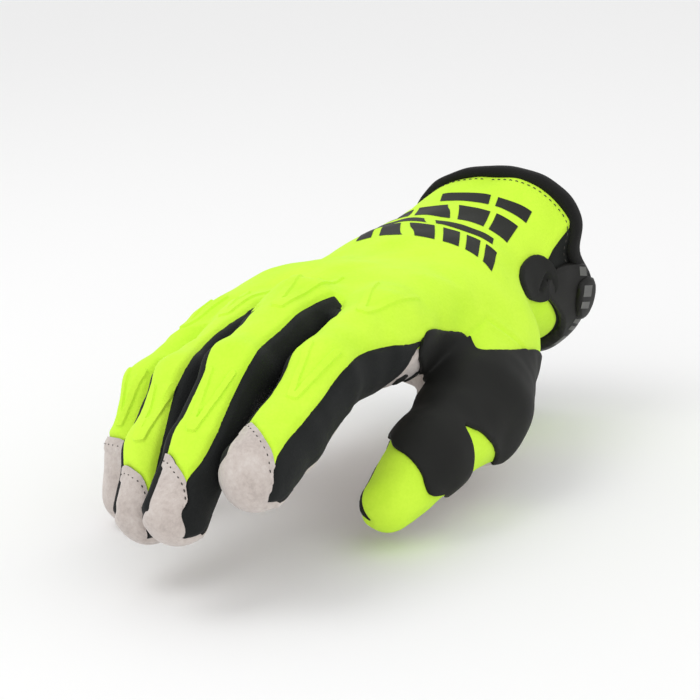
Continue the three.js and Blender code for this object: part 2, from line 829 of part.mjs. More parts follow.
const cutters = [
  ['index_side_gusset', black, (grow) => ownSlice(fingers.index, thumbSideSeams.index, grow)],
  ...webs.map((web) => [web.name, black, (grow) => gussetCutter(web, grow)]),
  ['thumb_gusset', black, (grow) => thumbCutter('thumb_gusset', grow)],
  ['thumb_palm', suede, (grow) => thumbCutter('thumb_palm', grow)],
  ['thumb_back_panel', yellow, (grow) => thumbCutter('thumb_back_panel', grow)],
  ['wrist_panel', softBlack, (grow) => handSlice(wristPanelSeam, grow)],
  ['palm_panel', suede, palmCutter],
];

const group = new THREE.Group();

function addPiece(name, solid, finish) {
  const body = mainBody(geometryFromSolid(solid));
  const mesh = new THREE.Mesh(body, new THREE.MeshStandardMaterial(finish));
  mesh.name = name;
  group.add(mesh);
}

let rest = shell;
let raised = allRibs();
for (const [name, finish, cutter] of cutters) {
  addPiece(name, rest.intersect(cutter(0)), finish);
  rest = rest.subtract(cutter(seamGap));
  raised = raised.subtract(cutter(seamGap));
}
addPiece('back_panel', rest.add(raised), yellow);
addPiece('thumb_patch', thumbPatch(), softBlack);
addPiece('wrist_patch', wristLobe(), softBlack);
addPiece('wrist_strap', wristStrap(), softBlack);
addPiece('strap_tab', strapTab(), softBlack);
addPiece('cuff_binding', cuffBinding(), black);
for (const grip of grips) {
  addPiece(grip.name, webGrip(grip), softBlack);
}

export default group;
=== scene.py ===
import math
import bpy
import numpy as np
from mathutils import Matrix, Vector
from mathutils.kdtree import KDTree


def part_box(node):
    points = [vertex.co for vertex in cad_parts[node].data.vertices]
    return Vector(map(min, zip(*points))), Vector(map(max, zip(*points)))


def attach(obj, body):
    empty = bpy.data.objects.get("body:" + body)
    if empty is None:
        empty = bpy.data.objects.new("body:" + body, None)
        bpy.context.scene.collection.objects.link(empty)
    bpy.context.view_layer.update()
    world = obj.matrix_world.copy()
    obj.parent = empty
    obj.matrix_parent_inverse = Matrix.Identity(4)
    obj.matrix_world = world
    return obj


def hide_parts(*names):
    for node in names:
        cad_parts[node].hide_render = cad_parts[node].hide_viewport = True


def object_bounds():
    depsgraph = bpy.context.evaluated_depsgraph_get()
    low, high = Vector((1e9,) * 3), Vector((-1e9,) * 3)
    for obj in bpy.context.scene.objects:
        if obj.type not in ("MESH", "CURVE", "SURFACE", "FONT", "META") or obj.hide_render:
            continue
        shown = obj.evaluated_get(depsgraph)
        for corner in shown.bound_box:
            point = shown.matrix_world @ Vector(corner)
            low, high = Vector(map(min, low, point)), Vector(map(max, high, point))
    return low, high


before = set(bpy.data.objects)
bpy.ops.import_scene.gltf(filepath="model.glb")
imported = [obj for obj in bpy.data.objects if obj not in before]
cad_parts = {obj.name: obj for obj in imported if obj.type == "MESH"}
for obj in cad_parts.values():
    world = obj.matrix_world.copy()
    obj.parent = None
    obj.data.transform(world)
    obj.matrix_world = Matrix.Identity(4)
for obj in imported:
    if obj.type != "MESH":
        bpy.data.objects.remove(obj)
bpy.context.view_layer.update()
print("frame loaded")

mm = 0.001
rad = math.pi / 180
rng = np.random.default_rng(11)

# the hand inside the glove, in millimetres, as in the part's source
hand = {
    "rows": [  # y, centre x, centre z, half width, rise, fall, tilt in degrees
        (14, 2.2, -0.7, 38.7, 36.8, 34.5, 0),
        (0, 1.7, -1.2, 37.7, 35.8, 33.5, 0),
        (-21.7, -2.6, -1.4, 36.6, 27.7, 30, 0),
        (-41.7, -4.2, -1.5, 35.1, 24.5, 26, 0),
        (-61.7, -4.8, -1.7, 38.6, 22.9, 26, 1),
        (-81.7, -6.4, -3, 42.3, 19.9, 25, 2.5),
        (-101.7, -11.5, -1.3, 47.2, 19.5, 23, 4),
        (-121.7, -10.3, -3.1, 46.7, 16.2, 19.7, 6),
        (-136.7, -10.4, -3.6, 46, 12.3, 14.8, 7),
        (-151.7, -10.4, -4.1, 44, 10.3, 9.8, 7),
    ],
    "end": -137.7, "square": 2.4, "mouth": 0.0,
    "fingerBlend": 3, "knuckleBlend": 9, "thumbBlend": 11, "thumbJointBlend": 5,
}
digits = {
    "index": {"knuckle": (22.7, -128.1, 1.1), "turn": 8.3, "roll": 8.3, "bends": (2.8, 21.1, -5.9),
              "bones": (44.3, 28, 19), "radii": (15.8, 12.4, 11.8, 11.3)},
    "middle": {"knuckle": (-2.7, -135.4, 5.6), "turn": 10.4, "roll": 5.8, "bends": (5.1, 24.9, 12.3),
               "bones": (50.4, 34, 19.6), "radii": (15.6, 12.1, 10.9, 9.8)},
    "ring": {"knuckle": (-25.8, -132.9, -2.5), "turn": 7.2, "roll": -5.7, "bends": (5.3, 28.8, 15.3),
             "bones": (47, 29.2, 17.5), "radii": (13.8, 12.3, 11.5, 10.9)},
    "pinky": {"knuckle": (-45.8, -120.9, -5.8), "turn": -11, "roll": -2.6, "bends": (18.6, 38, 14),
              "bones": (37.1, 21.9, 15.5), "radii": (12.2, 11.4, 10.2, 9.1)},
    "thumb": {"joints": [(23.6, -61, -18.4), (40.3, -98.7, -30.2), (44.8, -135.2, -35),
                         (41.1, -158.3, -45.8)],
              "facing": (0.75, 0, 0.66), "radii": (21.8, 18.6, 12.4, 9.4)},
}
fingers = ("index", "middle", "ring", "pinky")
slimRows = {"at": (0, 0.21, 0.38, 0.51, 0.8, 1.0), "slim": (0.95, 0.88, 0.88, 0.9, 0.94, 1.0)}
wall = 1.4  # cloth and leather


def turned(axis, angle):
    return np.array(Matrix.Rotation(angle * rad, 3, axis))


def unit(v):
    return v / np.linalg.norm(v, axis=-1, keepdims=True)


for name, d in digits.items():
    if "joints" in d:
        joints = np.array(d["joints"], float)
        aheads = unit(np.diff(joints, axis=0))
        facings = [unit(np.array(d["facing"]) - a * (a @ np.array(d["facing"]))) for a in aheads]
    else:
        basis = turned("Z", d["turn"]) @ turned("Y", d["roll"])
        joints, aheads, facings, bend = [np.array(d["knuckle"], float)], [], [], 0
        for length, more in zip(d["bones"], d["bends"]):
            bend += more * rad
            aheads.append(basis @ np.array([0, -math.cos(bend), -math.sin(bend)]))
            facings.append(basis @ np.array([0, -math.sin(bend), math.cos(bend)]))
            joints.append(joints[-1] + aheads[-1] * length)
        joints = np.array(joints)
    d.update(joints=joints, aheads=np.array(aheads), facings=np.array(facings))
    d["lengths"] = np.linalg.norm(np.diff(joints, axis=0), axis=1)
    d["starts"] = np.concatenate([[0], np.cumsum(d["lengths"])])
    d["length"] = d["starts"][-1]


def smoothRow(x, xs, ys):
    # cubic through the rows, flat slopes at the ends
    xs, ys = np.asarray(xs, float), np.asarray(ys, float)
    order = np.argsort(xs)
    xs, ys = xs[order], ys[order]
    slope = np.gradient(ys, xs) if len(xs) > 2 else np.full(len(xs), (ys[-1] - ys[0]) / (xs[-1] - xs[0]))
    x = np.clip(x, xs[0], xs[-1])
    k = np.clip(np.searchsorted(xs, x) - 1, 0, len(xs) - 2)
    h = xs[k + 1] - xs[k]
    t = (x - xs[k]) / h
    return ((2 * t**3 - 3 * t**2 + 1) * ys[k] + (t**3 - 2 * t**2 + t) * h * slope[k]
            + (-2 * t**3 + 3 * t**2) * ys[k + 1] + (t**3 - t**2) * h * slope[k + 1])


def handRow(y):
    rows = np.array(hand["rows"], float)
    return [smoothRow(y, rows[:, 0], rows[:, i]) for i in range(1, 7)]


def smoothMin(a, b, k):
    h = np.clip(0.5 + 0.5 * (b - a) / k, 0, 1)
    return b * (1 - h) + a * h - k * h * (1 - h)


def palmField(p):
    cx, cz, half, rise, fall, tilt = handRow(p[:, 1])
    tilt = tilt * rad
    dx, dz = p[:, 0] - cx, p[:, 2] - cz
    dx, dz = dx * np.cos(tilt) + dz * np.sin(tilt), -dx * np.sin(tilt) + dz * np.cos(tilt)
    tall = np.where(dz > 0, rise, fall)
    n = hand["square"]
    rho = ((np.abs(dx) / half) ** n + (np.abs(dz) / tall) ** n) ** (1 / n)
    size = np.hypot(dx, dz) + 1e-6
    d = np.where(rho > 0.3, size - size / np.maximum(rho, 1e-6), -np.minimum(half, tall) * (1 - rho))
    return np.maximum(d * 0.92, hand["end"] - p[:, 1])


def boneField(p, d, k):
    rel = p - d["joints"][k]
    t = rel @ d["aheads"][k]
    up = rel @ d["facings"][k]
    side = rel @ np.cross(d["aheads"][k], d["facings"][k])
    if "knuckle" in d:
        side = side / np.interp((d["starts"][k] + t) / d["length"], slimRows["at"], slimRows["slim"])
    r = np.hypot(up, side)
    r1, r2, h = d["radii"][k], d["radii"][k + 1], d["lengths"][k]
    b = (r1 - r2) / h
    a = math.sqrt(1 - b * b)
    along = -b * r + a * t
    body = a * r + b * t - r1
    return np.where(along < 0, np.hypot(r, t) - r1, np.where(along > a * h, np.hypot(r, t - h) - r2, body))


def digitField(p, name):
    d = digits[name]
    blend = hand["fingerBlend"] if "knuckle" in d else hand["thumbJointBlend"]
    whole = boneField(p, d, 0)
    for k in range(1, len(d["lengths"])):
        whole = smoothMin(whole, boneField(p, d, k), blend)
    return whole


def allFields(p):
    each = {name: digitField(p, name) for name in digits}
    each["palm"] = palmField(p)
    nearest = np.minimum.reduce([each[n] for n in fingers])
    each["fingers"] = nearest
    each["rest"] = smoothMin(each["palm"], nearest, hand["knuckleBlend"])
    each["hand"] = smoothMin(each["rest"], each["thumb"], hand["thumbBlend"])
    return each


def handField(p):
    return allFields(p)["hand"]


def slopeOf(p, step=0.4):
    out = np.empty_like(p)
    for i in range(3):
        e = np.zeros(3)
        e[i] = step
        out[:, i] = handField(p + e) - handField(p - e)
    return out / (2 * step)


def settle(p, rounds=3):
    for _ in range(rounds):
        g = slopeOf(p)
        p = p - g * (handField(p) / np.maximum((g * g).sum(1), 0.2))[:, None]
    return p


# one even skin over the hand: a net of quads on the grid, then settled on the form
grid = {"low": (-66, -240, -66), "high": (66, 9, 42), "pitch": 1.25}


def skinNet():
    low, pitch = np.array(grid["low"], float), grid["pitch"]
    count = np.ceil((np.array(grid["high"]) - low) / pitch).astype(int)
    axes = [low[i] + pitch * np.arange(count[i]) for i in range(3)]
    values = np.empty(count, np.float32)
    for i in range(count[0]):
        y, z = np.meshgrid(axes[1], axes[2], indexing="ij")
        p = np.stack([np.full(y.size, axes[0][i]), y.ravel(), z.ravel()], 1)
        values[i] = handField(p).reshape(y.shape)
    inside = values < 0
    corners = [(a, b, c) for a in (0, 1) for b in (0, 1) for c in (0, 1)]
    n = count - 1
    total = sum(inside[a:a + n[0], b:b + n[1], c:c + n[2]].astype(np.int8) for a, b, c in corners)
    cells = np.argwhere((total > 0) & (total < 8))
    number = np.full(n, -1)
    number[tuple(cells.T)] = np.arange(len(cells))
    place, hits = np.zeros((len(cells), 3)), np.zeros(len(cells))
    for a in corners:
        for axis in range(3):
            if a[axis]:
                continue
            b = tuple(1 if i == axis else a[i] for i in range(3))
            va, vb = values[tuple((cells + a).T)], values[tuple((cells + b).T)]
            cross = (va < 0) != (vb < 0)
            t = np.where(cross, va / np.where(cross, va - vb, 1), 0)
            point = np.array(a, float) + t[:, None] * (np.array(b) - np.array(a))
            place += np.where(cross[:, None], point, 0)
            hits += cross
    verts = low + pitch * (cells + place / hits[:, None])
    quads = []
    for axis in range(3):
        o1, o2 = [i for i in range(3) if i != axis]
        take = [slice(0, n[i]) for i in range(3)]
        ahead = list(take)
        ahead[axis] = slice(1, n[axis] + 1)
        cross = inside[tuple(take)] != inside[tuple(ahead)]
        at = np.argwhere(cross)
        at = at[(at[:, o1] > 0) & (at[:, o2] > 0)]
        step1, step2 = np.eye(3, dtype=int)[o1], np.eye(3, dtype=int)[o2]
        ring = [number[tuple((at - s).T)] for s in (step1 + step2, step2, 0 * step1, step1)]
        quad = np.stack(ring, 1)
        flip = inside[tuple(at.T)] != (axis == 1)
        quad[~flip] = quad[~flip][:, ::-1]
        quads.append(quad)
    return verts, np.concatenate(quads)


def relaxed(verts, quads, rounds=4):
    edges = np.concatenate([quads[:, [0, 1]], quads[:, [1, 2]], quads[:, [2, 3]], quads[:, [3, 0]]])
    for _ in range(rounds):
        total, hits = np.zeros_like(verts), np.zeros(len(verts))
        for a, b in (edges.T, edges.T[::-1]):
            for i in range(3):
                total[:, i] += np.bincount(a, verts[b, i], len(verts))
            hits += np.bincount(a, minlength=len(verts))
        verts = settle(verts + 0.6 * (total / hits[:, None] - verts), 1)
    return settle(verts, 2)


verts, quads = skinNet()
verts = relaxed(verts, quads)
side = lambda a, b: np.linalg.norm(verts[quads[:, a]] - verts[quads[:, b]], axis=1)
short = side(0, 2) < side(1, 3)
oneWay, otherWay = quads[:, [[0, 1, 2], [0, 2, 3]]], quads[:, [[1, 2, 3], [1, 3, 0]]]
tris = np.where(short[:, None, None], oneWay, otherWay).reshape(-1, 3)
print("skin net", len(verts), len(tris))


# where each point lies: reach and turn on its digit, turn round the wrist
def centreLine(d):
    # the bones with rounded bends, each sample with its reach, point and facing
    extra, soft = 45, 10
    reach = np.arange(-extra, d["length"] + extra, 1.0)
    points, facing = np.zeros((len(reach), 3)), np.zeros((len(reach), 3))
    for i, s in enumerate(reach):
        k = int(np.clip(np.searchsorted(d["starts"], s) - 1, 0, len(d["lengths"]) - 1))
        points[i] = d["joints"][k] + d["aheads"][k] * (s - d["starts"][k])
        facing[i] = d["facings"][k]
        for j in range(1, len(d["lengths"])):
            t = (s - d["starts"][j]) / (2 * soft) + 0.5
            if 0 < t < 1:
                a = d["joints"][j] - d["aheads"][j - 1] * soft
                b = d["joints"][j] + d["aheads"][j] * soft
                points[i] = (1 - t) ** 2 * a + 2 * t * (1 - t) * d["joints"][j] + t * t * b
                facing[i] = (1 - t) * d["facings"][j - 1] + t * d["facings"][j]
    ahead = unit(np.gradient(points, axis=0))
    facing = unit(facing - ahead * (facing * ahead).sum(1, keepdims=True))
    return reach, points, ahead, facing


def between(table, f):
    # rows of a table read at places between its rows
    low = np.floor(f).astype(int)
    return table[low] * (1 - f % 1)[:, None] + table[low + 1] * (f % 1)[:, None]


def digitPlace(p, name):
    d = digits[name]
    reach, points, ahead, facing = centreLine(d)
    best = np.empty(len(p))
    for start in range(0, len(p), 20000):
        part = p[start:start + 20000]
        gap = ((part[:, None, :] - points[None, ::2]) ** 2).sum(2)
        best[start:start + 20000] = gap.argmin(1) * 2
    best = np.clip(best, 0, len(reach) - 2.001)
    for _ in range(6):
        off = ((p - between(points, best)) * between(ahead, best)).sum(1)
        best = np.clip(best + 0.7 * off, 0, len(reach) - 2.001)
    rel, t, n = p - between(points, best), between(ahead, best), between(facing, best)
    s = reach[0] + best
    turn = np.degrees(np.arctan2((rel * np.cross(n, t)).sum(1), (rel * n).sum(1)))
    return s, turn, np.linalg.norm(rel, axis=1)


def wristTurn(p):
    cx, cz = handRow(p[:, 1])[:2]
    return np.degrees(np.arctan2(p[:, 0] - cx, p[:, 2] - cz))


def polygonField(x, y, outline):
    # distance to the outline, negative inside
    pts = np.array(outline, float)
    away, odd = np.full(len(x), 1e9), np.zeros(len(x), bool)
    for a, b in zip(pts, np.roll(pts, -1, 0)):
        e = b - a
        t = np.clip(((x - a[0]) * e[0] + (y - a[1]) * e[1]) / (e @ e), 0, 1)
        away = np.minimum(away, np.hypot(x - a[0] - t * e[0], y - a[1] - t * e[1]))
        hit = (a[1] > y) != (b[1] > y)
        odd ^= hit & (x < (b[0] - a[0]) * (y - a[1]) / (b[1] - a[1] if b[1] != a[1] else 1) + a[0])
    return np.where(odd, -away, away)


def roundOutline(outline, rounds=3):
    # corners cut so that a short list of points gives a soft curve
    pts = np.array(outline, float)
    for _ in range(rounds):
        nxt = np.roll(pts, -1, 0)
        pts = np.stack([0.75 * pts + 0.25 * nxt, 0.25 * pts + 0.75 * nxt], 1).reshape(-1, 2)
    return pts


def lineField(x, y, points):
    away = np.full(len(x), 1e9)
    pts = np.array(points, float)
    for a, b in zip(pts[:-1], pts[1:]):
        e = b - a
        t = np.clip(((x - a[0]) * e[0] + (y - a[1]) * e[1]) / (e @ e), 0, 1)
        away = np.minimum(away, np.hypot(x - a[0] - t * e[0], y - a[1] - t * e[1]))
    return away


# seams: turn in degrees against reach in mm, and cap edges as reach against turn
sideSeams = {  # thumb side of each finger: top edge and lower edge of the black gusset
    "index": {"top": [(0, 84), (8, 79), (22, 63), (34, 52), (47, 48), (57, 47), (75, 41), (86, 39), (94, 46),
                      (97, 58), (99, 90)],
              "low": [(0, 88), (5, 96), (11, 126), (60, 126), (85, 122), (96, 120), (99, 116)],
              "run": (0, 99.5)},
    "middle": {"top": [(-4, 46), (9, 36), (19, 32), (34, 33), (49, 32), (66, 36), (82, 39), (90, 37),
                       (98, 25), (103, 37), (109, 47), (112, 88)],
               "low": [(-4, 120), (60, 125), (90, 122), (108, 110), (112, 94)], "run": (-2, 112.5)},
    "ring": {"top": [(-3, 30), (10, 22), (22, 17), (36, 16), (47, 24), (57, 22), (64, 25), (71, 30),
                     (86, 34), (94, 34), (102, 38), (105, 74)],
             "low": [(-3, 120), (60, 125), (85, 120), (100, 106), (105, 80)], "run": (-3, 105)},
    "pinky": {"top": [(7, 30), (30, 20), (43, 34), (60, 42), (72, 52), (80, 78)],
              "low": [(7, 120), (50, 122), (70, 108), (80, 84)], "run": (5, 80)},
}
farSeams = {"index": -46, "middle": -37, "ring": -40}  # far side of each finger, degrees
slots = {  # rounded upper end of the opening beyond each finger: x, y, radius, and how fast it may widen
    "index": (8.6, -136.2, 4.4, 1.0),
    "middle": (-20.3, -130, 0.9, 0.33),
    "ring": (-49.8, -153.5, 1.2, 0.6),
}
capEdges = {
    "index": [(-120, 89), (-76, 86), (-56, 83), (-35, 81), (-12, 85), (10, 89), (30, 92), (46, 94.5),
              (66, 94), (120, 92)],
    "middle": [(-118, 93), (-60, 90), (-34, 90), (-20, 91), (-6, 93), (12, 95.5), (25, 98), (37, 102),
               (47, 104), (93, 104)],
    "ring": [(-100, 88), (-50, 84), (-35, 83), (-18, 83.5), (-2, 85), (19, 88), (34, 94), (40, 98), (80, 98)],
    "pinky": [(-120, 60), (-60, 57), (-22, 57), (0, 57), (11, 57), (30, 58), (46, 60), (90, 70)],
}
thumbSeams = {"start": 20.6, "back": 100, "gusset": (-140, -97), "gussetRun": (84, 121), "web": -66,
              "palmEnd": 104, "root": 8, "rootTurn": 60}
palmSeam = {"turns": [(-44, 150), (-55, 142), (-62, 122), (-75, 109), (-90, 104), (-102, 98)],
            "start": -44.5, "end": -140, "thumbSide": 98, "radius": 35, "fingerTurn": 92}
crotch = {"middle": (33, -119, -14), "radius": 17, "below": -4}  # leather at the foot of the thumb web
wristPanel = [(61, 6), (63, -5), (70, -13.5), (79, -22.5), (88, -28), (100, -26), (110, -19), (120, -13.5),
              (133, -8.7), (145, -9), (153, -20), (158, -44), (284, -44), (284, 6)]
cuffDip = {"turn": 80, "spread": 13, "deep": 6.5}  # the cuff's edge runs in beside the strap

mesh = {"v": verts, "t": tris, "n": unit(slopeOf(verts))}
each = allFields(verts)
ownFinger = np.argmin([each[n] for n in fingers], 0)
fields = {}
inward = {}
for k, name in enumerate(fingers):
    inward[name] = digitPlace(verts, name)
thumbReach, thumbTurn, thumbOut = digitPlace(verts, "thumb")
phi = wristTurn(verts)
aroundPhi = np.where(phi < -76, phi + 360, phi)
degreeWide = 0.6  # one degree round the wrist, in millimetres
print("places measured")


def pick(values):
    return np.choose(ownFinger, values)


def wristField(outline, rounds):
    # an outline in turn round the wrist and y, both brought to millimetres
    flat = [(turn * degreeWide, y) for turn, y in outline]
    return polygonField(aroundPhi * degreeWide, verts[:, 1], roundOutline(flat, rounds))


def sideField(name):
    s, turn, out = inward[name]
    seam = sideSeams[name]
    top = smoothRow(s, *np.array(seam["top"], float).T)
    low = smoothRow(s, *np.array(seam["low"], float).T)
    g = np.maximum(top - turn, turn - low) * rad * out
    return np.maximum(g, np.maximum(seam["run"][0] - s, s - seam["run"][1]))


far, within = 99.0, -9.0  # plainly outside and plainly inside a panel
blank = np.full(len(verts), far)
fingerSkin = each["fingers"] - each["thumb"]  # positive on the thumb


web = {"own": 55, "behind": 25, "low": -125, "past": 1.04}  # reach, y, turn, share of the finger


def webField(near, beyond):
    # black cloth between two fingers: from the far seam of one to the thumb-side seam of the next
    nearReach, nearTurn, nearOut = inward[near]
    nextReach, nextTurn, nextOut = inward[beyond]
    top = smoothRow(nextReach, *np.array(sideSeams[beyond]["top"], float).T)
    # out on a finger its own seam alone counts
    onNear = (ownFinger == fingers.index(near)) & (nearReach > web["own"])
    onNext = (ownFinger == fingers.index(beyond)) & (nextReach > web["own"])
    nextSeam = np.where(onNear, within, (top - nextTurn) * rad * nextOut)
    nearSeam = np.where(onNext, within, (nearTurn - farSeams[near]) * rad * nearOut)
    g = np.maximum(nextSeam, nearSeam)
    x, y, r, widen = slots[near]
    past = verts[:, 1] - y
    ahead = np.hypot(verts[:, 0] - x, np.maximum(past, 0)) - r - widen * np.maximum(-past, 0)
    ahead = np.where(verts[:, 1] > y - web["behind"], ahead, within)
    nearEnd = digits[near]["length"] * web["past"]
    nearLow = np.maximum((web["low"] - nearTurn) * rad * nearOut, nearReach - nearEnd)
    low = smoothRow(nextReach, *np.array(sideSeams[beyond]["low"], float).T)
    nextLow = np.maximum((nextTurn - low) * rad * nextOut, nextReach - sideSeams[beyond]["run"][1])
    rows = {near: nearLow, beyond: nextLow}
    lower = pick([rows.get(n, blank) for n in fingers])
    return np.maximum.reduce([g, ahead, lower, fingerSkin])


fields["index_side_gusset"] = np.maximum(pick([sideField("index"), blank, blank, blank]), fingerSkin)
fields["gusset_index_middle"] = webField("index", "middle")
fields["gusset_middle_ring"] = webField("middle", "ring")
fields["gusset_ring_pinky"] = webField("ring", "pinky")
ownThumb = np.maximum(each["thumb"] - each["rest"], thumbSeams["start"] - thumbReach)
bareThumb = np.maximum(each["thumb"] - each["rest"], -thumbReach - thumbSeams["root"])
low, high = thumbSeams["gusset"]
fields["thumb_gusset"] = np.maximum.reduce([ownThumb, (low - thumbTurn) * rad * thumbOut,
                                            (thumbTurn - high) * rad * thumbOut,
                                            thumbSeams["gussetRun"][0] - thumbReach,
                                            thumbReach - thumbSeams["gussetRun"][1]])
turnWrap = np.where(thumbTurn < high, thumbTurn + 360, thumbTurn)
webSide = np.maximum((thumbTurn - thumbSeams["web"]) * rad * thumbOut,
                     thumbReach - thumbSeams["gussetRun"][0])
fields["thumb_palm"] = np.maximum.reduce([ownThumb, thumbReach - thumbSeams["palmEnd"],
                                          np.minimum((thumbSeams["back"] - turnWrap) * rad * thumbOut,
                                                     webSide)])
fields["thumb_back_panel"] = ownThumb
fields["wrist_panel"] = wristField(wristPanel, 2)
palmTurn = smoothRow(verts[:, 1], *np.array(palmSeam["turns"], float).T)
palmTurn = np.where(phi > 0, palmTurn, palmSeam["thumbSide"])
palmSide = np.maximum.reduce([(palmTurn - np.abs(phi)) * rad * palmSeam["radius"],
                              verts[:, 1] - palmSeam["start"], palmSeam["end"] - verts[:, 1]])
under = []
capFields = []
for name in fingers:
    s, turn, out = inward[name]
    edge = smoothRow(turn, *np.array(capEdges[name], float).T)
    cap = edge - s
    capFields.append(cap)
    below = np.maximum((palmSeam["fingerTurn"] - np.abs(turn)) * rad * out, -s)
    under.append(np.maximum(np.minimum(below, cap), fingerSkin))
atCrotch = np.linalg.norm(verts - np.array(crotch["middle"]), axis=1) - crotch["radius"]
atCrotch = np.maximum(atCrotch, verts[:, 2] - crotch["below"])
atRoot = np.maximum(bareThumb, (thumbSeams["rootTurn"] - turnWrap) * rad * thumbOut)
fields["palm_panel"] = np.minimum.reduce([palmSide, pick(under), atCrotch, atRoot])
order = list(fields)

# patch on the thumb side, in y and z on the hand and in reach and turn on the thumb
patch = {
    "hand": [(-118, -13), (-124, -9), (-128.4, -5.5), (-128.6, -3), (-127.4, 0.4), (-124, 3.2), (-119.5, 3),
             (-114, 1.2), (-104, -1.9), (-97.5, -4), (-96.6, -6.5), (-98.5, -9.4), (-96, -11), (-88, -12.2),
             (-74, -15.2), (-62, -18.2), (-53, -24), (-52, -36), (-103, -38), (-112, -22)],
    "inner": 31,
    "tip": [(-105, 86), (-84, 87), (-67, 91), (-32, 93.5), (-13, 94.5), (6, 95.5), (24, 97), (40, 97),
            (52, 95), (66, 91), (98, 87)],
    "left": [(14, -120), (40, -92), (54, -76), (59, -84), (64, -88), (71, -86), (82, -86), (87, -100),
             (95, -101)],
    "right": 98,
    "begin": [(-180, 14), (-60, 20), (-46, 31), (-36, 38), (-22, 37), (-4, 31), (15, 22), (30, 14), (44, 6)],
    "notch": [(52, 112), (58, 78), (66, 43), (70, 22), (74.5, 0), (75.2, 10), (75.6, 26), (77.5, 52),
              (77.5, 75), (74, 112)],
    "thick": 1.15,
}
onHand = np.maximum(polygonField(verts[:, 1], verts[:, 2], roundOutline(patch["hand"], 2)),
                    patch["inner"] - verts[:, 0])
tipEdge = smoothRow(thumbTurn, *np.array(patch["tip"], float).T)
beginEdge = smoothRow(thumbTurn, *np.array(patch["begin"], float).T)
leftEdge = smoothRow(thumbReach, *np.array(patch["left"], float).T)
onThumb = np.maximum.reduce([ownThumb, thumbReach - tipEdge, (leftEdge - thumbTurn) * rad * thumbOut,
                             (thumbTurn - patch["right"]) * rad * thumbOut, beginEdge - thumbReach])
notch = polygonField(thumbReach, thumbTurn * 0.28, np.array(patch["notch"], float) * [1, 0.28])
fields["patch"] = np.maximum(np.minimum(onHand, onThumb), -notch)
lobeOutline = [(73, -28), (74.5, -36), (79, -43), (85.5, -45.5), (91.5, -44), (97, -39.5), (101.5, -33),
               (104, -25), (98, -19), (83, -21)]
fields["lobe"] = wristField(lobeOutline, 2)
strap = {"outline": [(88, -3), (84, -12), (86, -22), (93, -27), (101, -25), (110, -18.3), (120, -12.3),
                     (133, -7.9), (145, -8), (158, -14), (170, -25), (236, -25), (236, -3)],
         "thick": 3.4, "edge": 1.1, "lift": 0.3}
fields["strap"] = wristField(strap["outline"], 1)
tab = {"outline": [(94, -1), (95, -12), (118, -9), (119, -1)], "lift": 2.6, "thick": 2.4}
fields["tab"] = wristField(tab["outline"], 2)


def edgeDip(turn):
    return cuffDip["deep"] * np.exp(-(((turn - cuffDip["turn"]) / cuffDip["spread"]) ** 2))


fields["mouth"] = verts[:, 1] - hand["mouth"] + edgeDip(phi)

# raised marks: two arms that open towards the wrist and meet towards the tip
ribs = {  # start, end, middle in degrees, half opening in degrees
    "index": [(-11, 17, 3, 30), (45, 66, 4, 20)],
    "middle": [(-22, 22, 2, 24), (60, 82, 0, 18)],
    "ring": [(-14, 12, -8, 22), (57, 76, 0, 18)],
    "pinky": [(-2, 15, -6, 20), (38, 52, -4, 18)],
}
ribHalf, ribEdge, ribRise = 1.7, 0.5, 0.75
ribTip, ribWithin = 4, 80  # half opening at the tip and reach to the sides, degrees
ribFields = []
for name in fingers:
    s, turn, out = inward[name]
    scale = rad * digits[name]["radii"][0]
    across = turn * scale
    away = np.full(len(verts), far)
    for start, end, middle, spread in ribs[name]:
        for way in (-1, 1):
            arm = [(start, (middle + way * spread) * scale), (end, (middle + way * ribTip) * scale)]
            away = np.minimum(away, lineField(s, across, arm) - ribHalf)
    ribFields.append(np.where(np.abs(turn) < ribWithin, away, far))
fields["rib"] = pick(ribFields)
fields["cap"] = pick(capFields)
fields["turn"] = pick([inward[n][1] for n in fingers])
names = list(fields)
mesh["f"] = np.stack([fields[n] for n in names], 1)
print("seams placed")

# exact cuts along the seams


snap = (0.12, 0.88)  # a crossing this near a corner goes through the corner


